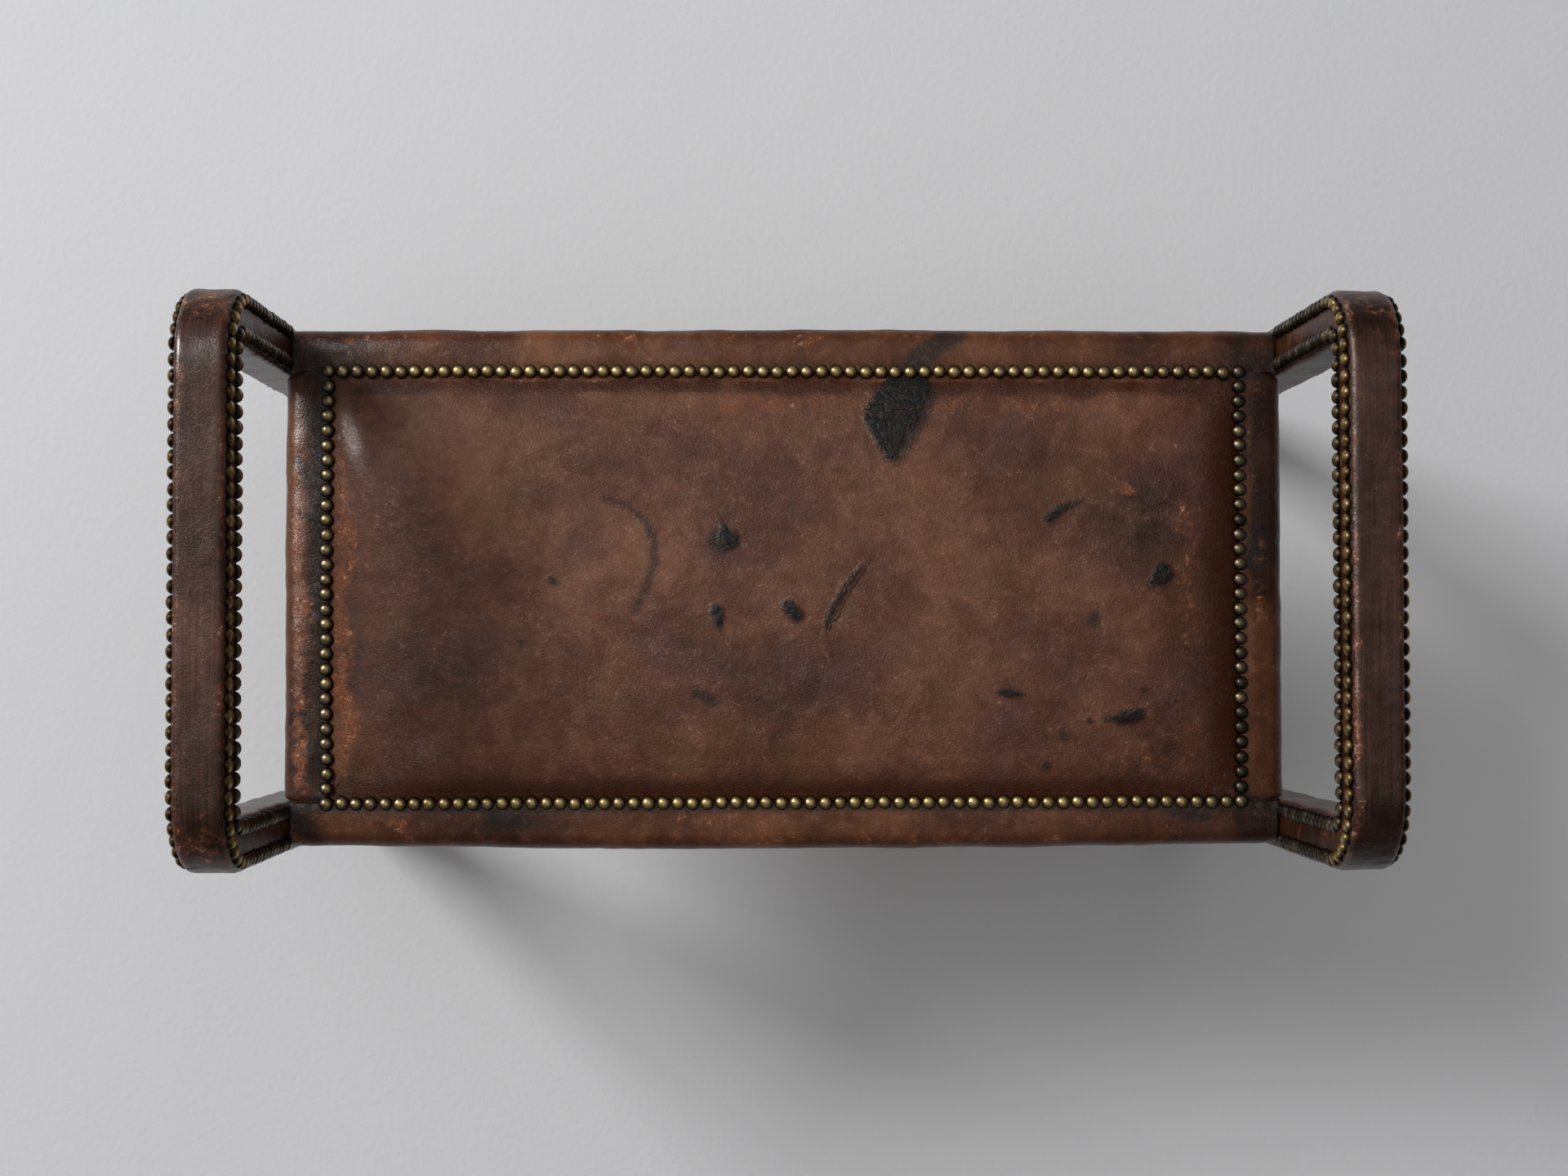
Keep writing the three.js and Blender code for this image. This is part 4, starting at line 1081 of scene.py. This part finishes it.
def crownHeight(x, y):
    # A quick roll inside the nail line, as a parabola each way, and a shallow dome over it all.
    # From the long sides the roll widens towards the panel's ends.
    def roll(inside, width):
        return 1 - (1 - np.clip(inside / width, 0, 1)) ** 2

    def dome(at, half):
        return np.maximum(1 - (at / half) ** 2, 0)

    begin, full = seat['endReach']
    nearEnd = smooth(np.abs(x), nailX - begin, nailX - full)
    width = seat['rollWidth'] + (seat['endWidth'] - seat['rollWidth']) * nearEnd
    rolled = roll(nailX - np.abs(x), seat['rollWidth']) * roll(nailY - np.abs(y), width)
    return seat['rollRise'] * rolled + seat['domeRise'] * dome(x, nailX) * dome(y, nailY)


def evened(x, face):
    # Where a place on a long nail row would lie if the row were even: it leans by half a cosine wave
    lean = np.where(face > 0, seat['backLean'], seat['frontLean'])
    return x + lean * np.cos(np.pi / 2 * np.clip(x / nailX, -1, 1))


def nailedLine():
    # Places along the back, the front and one short side of the nail line
    even = np.linspace(-nailX, nailX, seat['nailsAlong'])
    rows = []
    for face in (1, -1):
        leaning = 2 * even - evened(even, face)
        rows.append(even - (evened(leaning, face) - leaning))
    return (*rows, np.linspace(-nailY, nailY, seat['nailsAcross']))


def nailPull(x, y):
    # Cosine waves that are 1 at each nail of the nearest side and -1 halfway between two nails,
    # and the distance inside the nail line
    insideX, insideY = nailX - np.abs(x), nailY - np.abs(y)
    wave = np.where(insideX < insideY, np.cos(2 * np.pi * (y + nailY) / pitchY),
                    np.cos(2 * np.pi * (evened(x, y) + nailX) / pitchX))
    return wave, np.minimum(insideX, insideY)


panelCloth = {
    'step': 6.0,            # the simulated grid
    'frames': 20,
    'cap': 3.0,             # how far the simulation may move the panel
    'settings': {
        'vertex_group_mass': 'nailed', 'quality': 6, 'mass': 0.4, 'air_damping': 4.0,
        'tension_stiffness': 60.0, 'compression_stiffness': 30.0, 'shear_stiffness': 30.0,
        'bending_stiffness': 6.0, 'use_pressure': True, 'uniform_pressure_force': 4.0,
    },
}


def settlePanel(places):
    # Cloth pinned at the nail line and pressed from below. Its moves are capped by a hyperbolic
    # tangent, so the hide fills out as it lies.
    rows, columns = places.shape[:2]
    mesh = bpy.data.meshes.new('settling')
    faces = gridFaces(rows, columns)[:, ::-1]
    mesh.from_pydata((places.reshape(-1, 3) * mm).tolist(), [], faces.tolist())
    hide = bpy.data.objects.new('settling', mesh)
    bpy.context.scene.collection.objects.link(hide)
    _, inside = nailPull(places[..., 0], places[..., 1])
    held = (inside < panelCloth['step'] / 2).ravel()
    group = hide.vertex_groups.new(name='nailed')
    group.add(np.flatnonzero(held).tolist(), 1.0, 'REPLACE')
    cloth = hide.modifiers.new('Cloth', 'CLOTH')
    for key, value in panelCloth['settings'].items():
        setattr(cloth.settings, key, value)
    cloth.settings.effector_weights.gravity = 0.0
    cloth.point_cache.frame_end = panelCloth['frames']
    for number in range(panelCloth['frames']):
        bpy.context.scene.frame_set(number + 1)
    evaluated = hide.evaluated_get(bpy.context.evaluated_depsgraph_get())
    flat = np.zeros(len(evaluated.data.vertices) * 3, np.float32)
    evaluated.data.vertices.foreach_get('co', flat)
    settled = flat.reshape(rows, columns, 3).astype(float) / mm
    bpy.data.objects.remove(hide)
    bpy.context.scene.frame_set(1)
    moved = settled - places
    length = np.linalg.norm(moved, axis=-1, keepdims=True)
    cap = panelCloth['cap']
    return places + moved * np.tanh(length / cap) * cap / np.maximum(length, 1e-6)


def refined(grid, columnPlaces, rowPlaces, newColumns, newRows):
    # The grid's values at other places, by linear steps along each way in turn
    across = np.stack([np.interp(newRows, rowPlaces, line) for line in grid])
    return np.stack([np.interp(newColumns, columnPlaces, line) for line in across.T]).T


def softened(grid):
    # Each inner point goes halfway to the mean of its four neighbours
    grid = grid.copy()
    mean = (grid[:-2, 1:-1] + grid[2:, 1:-1] + grid[1:-1, :-2] + grid[1:-1, 2:]) / 4
    grid[1:-1, 1:-1] = (grid[1:-1, 1:-1] + mean) / 2
    return grid


def panelPuff(fineX, fineY):
    # What the simulation adds to the crown, on a coarse grid and brought to the fine one
    step = panelCloth['step']
    coarseX = np.linspace(-nailX, nailX, int(2 * nailX / step) + 1)
    coarseY = np.linspace(-nailY, nailY, int(2 * nailY / step) + 1)
    x, y = meshed(coarseX, coarseY)
    before = stacked(x, y, panelFoot + crownHeight(x, y))
    lift = softened(softened(settlePanel(before)[..., 2] - before[..., 2]))
    newX, newY = np.clip(fineX, -nailX, nailX), np.clip(fineY, -nailY, nailY)
    return refined(lift, coarseX, coarseY, newX, newY)


def surfaceNormals(grid):
    # Cross product of the differences along the grid's two ways
    normal = np.cross(np.gradient(grid, axis=0), np.gradient(grid, axis=1))
    return normal / np.linalg.norm(normal, axis=-1, keepdims=True)


panelForm = {
    'grid': (281, 137),
    'padGrid': (161, 81),
    'pull': (0.55, 7.0),        # how far each nail draws the leather down, and its reach
    # unevenness: height, length, seed, and where it begins and is full inside the nail line
    'lumps': [(0.42, 120, 61, 6, 40), (0.12, 28, 62, 2, 12)],
    'burntRise': (0.25, 2.0),   # how far burnt patches swell, and over what distance
    'padGap': 0.6,
    'padLump': (0.35, 16, 71),
}
panelWear = {
    'clouds': (0.22, 95, 63),   # unevenness of the tone, its length and its seed
    # worn lines inside the back and front nails: face, amount, distance from the nails, reach
    'lines': [(1, 1.05, 6.2, 1.0), (-1, 0.45, 6.3, 1.1)],
    'ragged': (0.75, 0.35, 34, 64),
    'clearEnds': (12, 45),      # the lines begin and are full that far inside the short rows
    # darkening: amount and the distances over which it goes; dirt at the nails and in the back band,
    # painted shade on the rolls inside the nail line (rim), on the front roll and over the right
    # end's roll
    'nails': (0.55, 1.0, 5.0),
    'rim': (0.30, 4.0, 24.0),
    'backBand': (0.85, 11.0, 5.6, 2.2, 60, 65),
    'frontShadeBand': (0.45, 10.0, 8.0),
    'rightEndShade': (0.75, 50, 10),
}


def panelFields(x, y, inside, blots):
    # Worn lines and dark bands are bells across the back and front rows, made ragged by unevenness.
    # The back band is dirt; the front band, the rim and the right end are painted shade on the rolls.
    middle, spread, length, seed = panelWear['ragged']
    ragged = middle + spread * unevenness(x, y, length, seed)
    clear = smooth(nailX - np.abs(x), *panelWear['clearEnds'])
    worn = spots(x, y, panelMarks['worn'])
    for face, amount, away, reach in panelWear['lines']:
        worn = worn + amount * bell(nailY - face * y - away, reach) * ragged * clear
    grime = 0
    # dirt beside the nails, and painted shade over the rolls inside the nail line
    for amount, low, high in (panelWear['nails'], panelWear['rim']):
        grime = grime + amount * (1 - smooth(inside, low, high))
    amount, away, reach, spread, length, seed = panelWear['backBand']
    reach = reach + spread * unevenness(x, 0 * y, length, seed)
    grime = grime + amount * bell(nailY - y - away, reach) * ragged
    # painted shade along the front roll
    amount, away, reach = panelWear['frontShadeBand']
    grime = grime + amount * bell(nailY + y - away, reach)
    # painted shade over the right end's roll, on top of the roll's own shading
    amount, begin, full = panelWear['rightEndShade']
    grime = grime + amount * smooth(x, nailX - begin, nailX - full)
    clouds, length, seed = panelWear['clouds']
    return {
        'tone': spots(x, y, panelMarks['tone']) + clouds * unevenness(x, y, length, seed),
        'worn': worn, 'shine': spots(x, y, panelMarks['shine']), 'grime': grime,
        'stain': blots, 'smudge': blotDistance(x, y, panelMarks['smudges']),
    }


def addPanel():
    # The crown, what the simulation adds, dimples at the nails, slight lumps and swollen burns.
    # The inner face lies a leather's thickness along the normal under it.
    rows, columns = panelForm['grid']
    fineX = np.linspace(-panelHigh[0], panelHigh[0], rows)
    fineY = np.linspace(-panelHigh[1], panelHigh[1], columns)
    x, y = meshed(fineX, fineY)
    wave, inside = nailPull(x, y)
    z = panelFoot + crownHeight(x, y)
    z = z + panelPuff(fineX, fineY)
    depth, reach = panelForm['pull']
    z = z - depth * bell(inside, reach) * (inside > -2) * wave
    for lump, length, seed, begin, full in panelForm['lumps']:
        z = z + lump * unevenness(x, y, length, seed) * smooth(inside, begin, full)
    blots = blotDistance(x, y, panelMarks['blots'])
    swollen, reach = panelForm['burntRise']
    z = z + swollen * smooth(-blots, 0, reach)
    top = stacked(x, y, z)
    bottom = top - seat['leather'] * surfaceNormals(top)
    panel = hidePiece('seat_panel_cover', top, bottom, 'panelHide',
                      panelFields(x, y, inside, blots), x, y, 'seat_panel_leather')
    addPad(fineX, fineY, z)


def addPad(fineX, fineY, panelTop):
    # Curled hair from the hessian up to the panel
    padLow, padHigh = boxOf('seat_pad')
    rows, columns = panelForm['padGrid']
    padX = np.linspace(-padHigh[0], padHigh[0], rows)
    padY = np.linspace(-padHigh[1], padHigh[1], columns)
    x, y = meshed(padX, padY)
    crown = refined(panelTop, fineX, fineY, padX, padY) - seat['leather'] - panelForm['padGap']
    lump, length, seed = panelForm['padLump']
    crown = crown - lump * (1 + unevenness(x, y, length, seed))
    points, faces = shellBetween(stacked(x, y, crown), stacked(x, y, np.full_like(x, padLow[2])))
    pad = makePiece('hair_filling', points, faces, curledHair)
    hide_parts('seat_pad')


addPanel()
print('panel laid over its pad')


# Borders: one section each way, carried along the side of the seat
borderSteps = (12, 11, 16, 5, 4)
borderColumns = np.concatenate([
    *(np.linspace(i, i + 1, n, endpoint=False) for i, n in enumerate(borderSteps)), [5]])
borderForm = {
    'lumps': [(0.35, 85, 0), (0.12, 22, 1)],    # height, length and what goes to the seed
    'drape': (0.25, 0.15, 34),      # folds down the side: height, share of the length, length
    'pull': (0.35, 6.0),            # how far each nail draws the leather down, and its reach
}
borderWear = {
    'clouds': (0.3, 110),
    'lowEdge': (0.25, 3.3, 0.4),    # worn along the lower edge: amount, stretch and reach
    'side': (0.22, 60),             # worn patches on the side
    'nails': (3.0, 11.0),           # dirt goes over this distance from the nails
    'under': 0.4,
    'ends': (0.6, 10, 1),           # dirt at the ends: amount, and where it begins and is full
}


def borderSection(t, reach, swell):
    # From the nail line outwards: flat and slightly swollen, over the roll, down, and in under the
    # rail. Each whole number of t is one stretch. Gives out, up, the face's direction and the length.
    roll, wrap = seat['roll'], seat['wrap']
    height = nailPlane - seatUnder
    flat = (reach - roll) * np.clip(t, 0, 1)
    first = np.pi / 2 * np.clip(t - 1, 0, 1)
    side = (height - roll - wrap) * np.clip(t - 2, 0, 1)
    second = np.pi / 2 * np.clip(t - 3, 0, 1)
    under = (seat['turnUnder'] - wrap) * np.clip(t - 4, 0, 1)
    out = flat + roll * np.sin(first) - wrap * (1 - np.cos(second)) - under
    up = -roll * (1 - np.cos(first)) - side - wrap * np.sin(second)
    up = up + swell * np.sin(np.pi * np.clip(t, 0, 1))
    angle = np.pi / 2 - first - second
    return out, up, np.cos(angle), np.sin(angle), flat + roll * first + side + wrap * second + under


def borderSwell(a, t, length, run, seed):
    # Unevenness of the faces and folds down the side, a cosine wave that dips at each nail, and
    # ends that turn in by a quarter circle
    lump = sum(height * unevenness(a, length, long, seed + more)
               for height, long, more in borderForm['lumps'])
    lump = lump * smooth(length, 2, 12) * (1 - smooth(t, 3.8, 4.4))
    height, share, long = borderForm['drape']
    drape = height * unevenness(a, length * share, long, seed + 2)
    drape = drape * smooth(t, 1.6, 2.4) * (1 - smooth(t, 3, 4))
    depth, reach = borderForm['pull']
    pull = -depth * np.cos(2 * np.pi * run['nailPlace'](a) / run['pitch']) * bell(length, reach)
    rounding = run['rounding']
    fold = np.clip(rounding - (run['half'] - np.abs(a)), 0, rounding)
    turnIn = rounding - np.sqrt(np.maximum(rounding ** 2 - fold ** 2, 0))
    return lump + drape + pull - turnIn * smooth(length, 0, 4)


def borderFields(a, t, out, length, marks, half, seed):
    # Worn on the lower edge and in patches on the side, dirty at the nails, below and at the ends
    clouds, long = borderWear['clouds']
    top = 1 - smooth(t, 1.2, 2.4)
    low, stretch, reach = borderWear['lowEdge']
    patches, patchLength = borderWear['side']
    patchy = np.clip(unevenness(a, length, patchLength, seed + 4), 0, 1) * smooth(t, 2, 2.3)
    ends, begin, full = borderWear['ends']
    return {
        'tone': spots(a, out, marks['tone']) * top + clouds * unevenness(a, length, long, seed + 3),
        'worn': spots(a, length, marks['worn']) + low * bell(t - stretch, reach) + patches * patchy,
        'shine': spots(a, length, marks['shine']),
        'grime': marks['nailDirt'] * (1 - smooth(length, *borderWear['nails']))
        + borderWear['under'] * smooth(t, 3, 4) + ends * smooth(np.abs(a), half - begin, half - full),
        'stain': blotDistance(a, np.where(t < 2, out, farOff), marks['blots']),
        'smudge': blotDistance(a, length, marks['smudges']),
    }


def addBorder(name, along, run, seed):
    # A run says how a side differs: its half length, the section's reach and swell along it, its
    # place in the world, where its nails are, their pitch, and how round its ends are
    a, t = meshed(along, borderColumns)
    out, up, outWay, upWay, length = borderSection(t, run['reach'](a), run['swell'](a))
    swollen = borderSwell(a, t, length, run, seed)

    def faceAt(inset):
        return run['toWorld'](a, out + (swollen - inset) * outWay, up + (swollen - inset) * upWay)

    fields = borderFields(a, t, out, length, borderMarks[name], run['half'], seed)
    hidePiece(f'{name}_border_cover', faceAt(0), faceAt(seat['leather']), 'borderHide',
              fields, a, length, f'{name}_border_leather')


def addFelt(name, half, count, railReach, run):
    # Wadding from the leather's inner face to the rail, from past the nails down the rail's side
    a, t = meshed(np.linspace(-half, half, count), np.linspace(seat['feltFrom'], seat['feltTo'], 34))

    def faceAt(reached, swollen, inset):
        out, up, outWay, upWay, _ = borderSection(t, reached, swollen)
        return run['toWorld'](a, out - inset * outWay, up - inset * upWay)

    outer = faceAt(run['reach'](a), run['swell'](a), seat['leather'] + seat['feltGap'])
    points, faces = shellBetween(outer, faceAt(railReach + 0 * a, 0 * a, seat['feltInner']))
    felt = makePiece(f'{name}_border_felt', points, faces, woolFelt)
    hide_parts(f'{name}_border_wadding')


def addLongBorder(name, face, bow, seed):
    # Bowed out by half a cosine wave, and folded at its ends beside the legs
    half = barInner - seat['legGap']
    ends = half - np.linspace(0, 2.4, 9)
    along = np.unique(np.concatenate([np.linspace(-half, half, 281), ends, -ends]))
    run = {
        'half': half,
        'reach': lambda a: frontReach + bow * np.cos(np.pi / 2 * a / half),
        'swell': lambda a: seat['swell'] + 0 * a,
        'toWorld': lambda a, out, up: stacked(a, face * (nailY + out), nailPlane + up),
        'nailPlace': lambda a: evened(a, face) + nailX,
        'pitch': pitchX,
        'rounding': seat['foldedEnd'],
    }
    addBorder(name, along, run, seed)
    addFelt(name, half - seat['feltShort'], 81, frontReach, run)


def addEndBorder(name, side, seed):
    # Grown out between the legs by a quarter circle at each
    half = nailY - seat['seam']
    clearHalf = min(opening['half'], nailY) - seat['gap']
    growing = np.linspace(clearHalf - 6, half, 16)
    along = np.unique(np.concatenate([np.linspace(-half, half, 131), growing, -growing]))

    def grown(a):
        way = np.clip((clearHalf - np.abs(a)) / seat['bulgeReach'], 0, 1)
        return np.sqrt(1 - (1 - way) ** 2)

    run = {
        'half': half,
        'reach': lambda a: endReach + seat['bulge'] * grown(a),
        'swell': lambda a: seat['swell'] * grown(a),
        'toWorld': lambda a, out, up: stacked(side * (nailX + out), a, nailPlane + up),
        'nailPlace': lambda a: a + nailY,
        'pitch': pitchY,
        'rounding': seat['cutEnd'],
    }
    addBorder(name, along, run, seed)
    addFelt(name, clearHalf - seat['endFeltShort'], 41, seat['endRail'], run)


addLongBorder('front', -1, seat['frontBow'], 200)
addLongBorder('back', 1, seat['backBow'], 220)
addEndBorder('left', -1, 240)
addEndBorder('right', 1, 260)


def rowsAt(placesX, endY, placesY, endX):
    # Points along both long sides, front or back first as the places come, and both short sides
    long = [stacked(places, np.full(len(places), end)) for places, end in zip(placesX, endY)]
    short = [stacked(np.full(len(placesY), end), placesY) for end in (-endX, endX)]
    return np.concatenate(long + short)


def addSeatNails():
    # One nail at each corner and rows between them. The left row bows out by half a cosine wave.
    # How dull a nail is: its row's own share, and more towards the ends of the long rows.
    dullness = {'own': 0.30, 'left': 0.38, 'right': 0.6, 'ends': 0.3, 'endsFrom': (190, 300)}
    back, front, alongY = nailedLine()
    flat = rowsAt((back, front), (nailY, -nailY), alongY[1:-1], nailX)
    centres = np.column_stack([flat, np.full(len(flat), nailPlane - seat['nailSunk'])])
    left, right = flat[:, 0] < 1 - nailX, flat[:, 0] > nailX - 1
    centres[:, 0] -= seat['leftBow'] * left * np.cos(np.pi / 2 * flat[:, 1] / nailY)
    rowEnds = smooth(np.abs(flat[:, 0]), *dullness['endsFrom']) * ~(left | right)
    dull = dullness['own'] + dullness['left'] * left + dullness['right'] * right \
        + dullness['ends'] * rowEnds
    addNails('seat_nails', centres, (0, 0, 1), 300, dull)


def addTacks():
    # Blued tacks through the turned-in leather under the rails
    tack = {'inset': 8.0, 'pitch': 30.0, 'halfX': 300, 'halfY': 120, 'out': 0.1, 'scale': 0.62}
    alongX, alongY = (np.arange(-half, half + 1, tack['pitch'])
                      for half in (tack['halfX'], tack['halfY']))
    inward = tack['inset'] - seat['turnUnder']
    sideY, endX = nailY + frontReach + inward, nailX + endReach + inward
    flat = rowsAt((alongX, alongX), (-sideY, sideY), alongY, endX)
    centres = np.column_stack([flat, np.full(len(flat), seatUnder + tack['out'])])
    addNails('under_tacks', centres, (0, 0, -1), 320, material=tackSteel,
             scale=tack['scale'])


def addHessian():
    # The cloth under the pad, bellying between the webbing straps as a product of squared sines
    weave = {'belly': 0.35, 'strapX': 83, 'strapY': 86, 'half': 0.4, 'grid': (151, 71)}
    low, high = boxOf('hessian_sheet')
    x, y = meshed(*(np.linspace(low[axis], high[axis], weave['grid'][axis]) for axis in (0, 1)))
    acrossX = np.sin(np.pi * (x / weave['strapX'] + 0.5)) ** 2
    acrossY = np.sin(np.pi * y / weave['strapY']) ** 2
    middle = (low[2] + high[2]) / 2 - weave['belly'] * acrossX * acrossY
    points, faces = shellBetween(stacked(x, y, middle + weave['half']),
                                 stacked(x, y, middle - weave['half']))
    cloth = makePiece('hessian_cloth', points, faces, hessianWeave)
    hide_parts('hessian_sheet')


addSeatNails()
addTacks()
addHessian()
print('borders, nails and hessian in place')

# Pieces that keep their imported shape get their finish
finishes = {
    'leg': beechWood, 'handle_rail': beechWood, 'seat_rail': beechWood, 'corner_block': beechWood,
    'rail_screw': screwSteel, 'webbing': juteWebbing,
}
for name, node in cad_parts.items():
    for ending, material in finishes.items():
        if name.endswith(ending) or ending + '_' in name:
            node.data.materials.clear()
            node.data.materials.append(material)


def addStage():
    # A pale floor with the soft shadow. Past the lamps' reach it goes over to the backdrop's tone.
    half = light['floorHalf']
    corners = [(-half, -half, 0), (half, -half, 0), (half, half, 0), (-half, half, 0)]
    mesh = bpy.data.meshes.new('floor')
    mesh.from_pydata(corners, [], [(0, 1, 2, 3)])
    floor = bpy.data.objects.new('floor', mesh)
    bpy.context.scene.collection.objects.link(floor)
    material, shader, place = newMaterial('paleFloor')
    speck = place.noise(900.0, 2.0)
    tint = place.noise(1.2, 3.0) * 0.5 + speck * 0.5
    dark, pale = ([tone + step for tone in light['floorTone']] for step in (-2, 2))
    radius = place.put('VectorMath', {0: place}, 'Value', operation='LENGTH')
    far = radius.rise(*light['floorFades'])
    wire(shader.inputs['Emission Strength'], far)
    surfaced(shader, mixed(far, tint.tones((0.3, dark), (0.7, pale)), (0, 0, 0)), 0.85,
             speck * 1.0e-4 + place.noise(170.0, 3.0, 0.5) * 3.2e-4,
             {'Emission Color': srgb(*light['floorFar'])})
    mesh.materials.append(material)


def addLights():
    # Square lamps, and a dim room that is a little lighter on the window's side. A lamp's energy is
    # its level times pi squared times the distance squared, over the sine of its height.
    for name, (bearing, height, distance, size, level) in light['lamps'].items():
        bearing, height = math.radians(bearing), math.radians(height)
        way = Vector((math.cos(bearing) * math.cos(height), math.sin(bearing) * math.cos(height),
                      math.sin(height)))
        lamp = bpy.data.lights.new(name, 'AREA')
        lamp.shape = 'SQUARE'
        lamp.size = size
        lamp.energy = level * math.pi ** 2 * distance ** 2 / math.sin(height)
        lampObject = bpy.data.objects.new(name, lamp)
        lampObject.location = way * distance
        lampObject.rotation_euler = way.to_track_quat('Z', 'Y').to_euler()
        lampObject.visible_glossy = name not in light['noReflection']
        bpy.context.scene.collection.objects.link(lampObject)

    world = bpy.data.worlds.new('room')
    bpy.context.scene.world = world
    world.use_nodes = True
    tree = world.node_tree
    tree.nodes.clear()
    direction = Wire(tree, putNode(tree, 'TexCoord', {}).outputs['Generated'])
    bearing = math.radians(light['lamps']['windowLamp'][0])
    window = (math.cos(bearing), math.sin(bearing), 0)
    level = direction.vector('DOT_PRODUCT', window, 'Value').rise(
        -0.3, 1.0, light['roomFar'], light['roomNear'])
    height = direction.parts()[2]
    level = level * height.rise(0.0, 0.55, light['wallShare'], 1.0)
    colour = mixed(height.rise(-0.01, 0.04), light['floorFar'], level)
    lit = putNode(tree, 'Background', {'Color': colour, 'Strength': 1.0})
    output = tree.nodes.new('ShaderNodeOutputWorld')
    tree.links.new(lit.outputs[0], output.inputs[0])


def addCamera():
    camera = bpy.data.cameras.new('camera')
    camera.sensor_width = 36.0
    camera.lens = view['lens']
    eye = bpy.data.objects.new('camera', camera)
    eye.location = view['place']
    eye.rotation_euler = Euler(view['turn'], 'XYZ')
    bpy.context.scene.collection.objects.link(eye)
    bpy.context.scene.camera = eye


addStage()
addLights()
addCamera()
bpy.context.scene.view_settings.view_transform = 'Standard'

print('stool dressed')
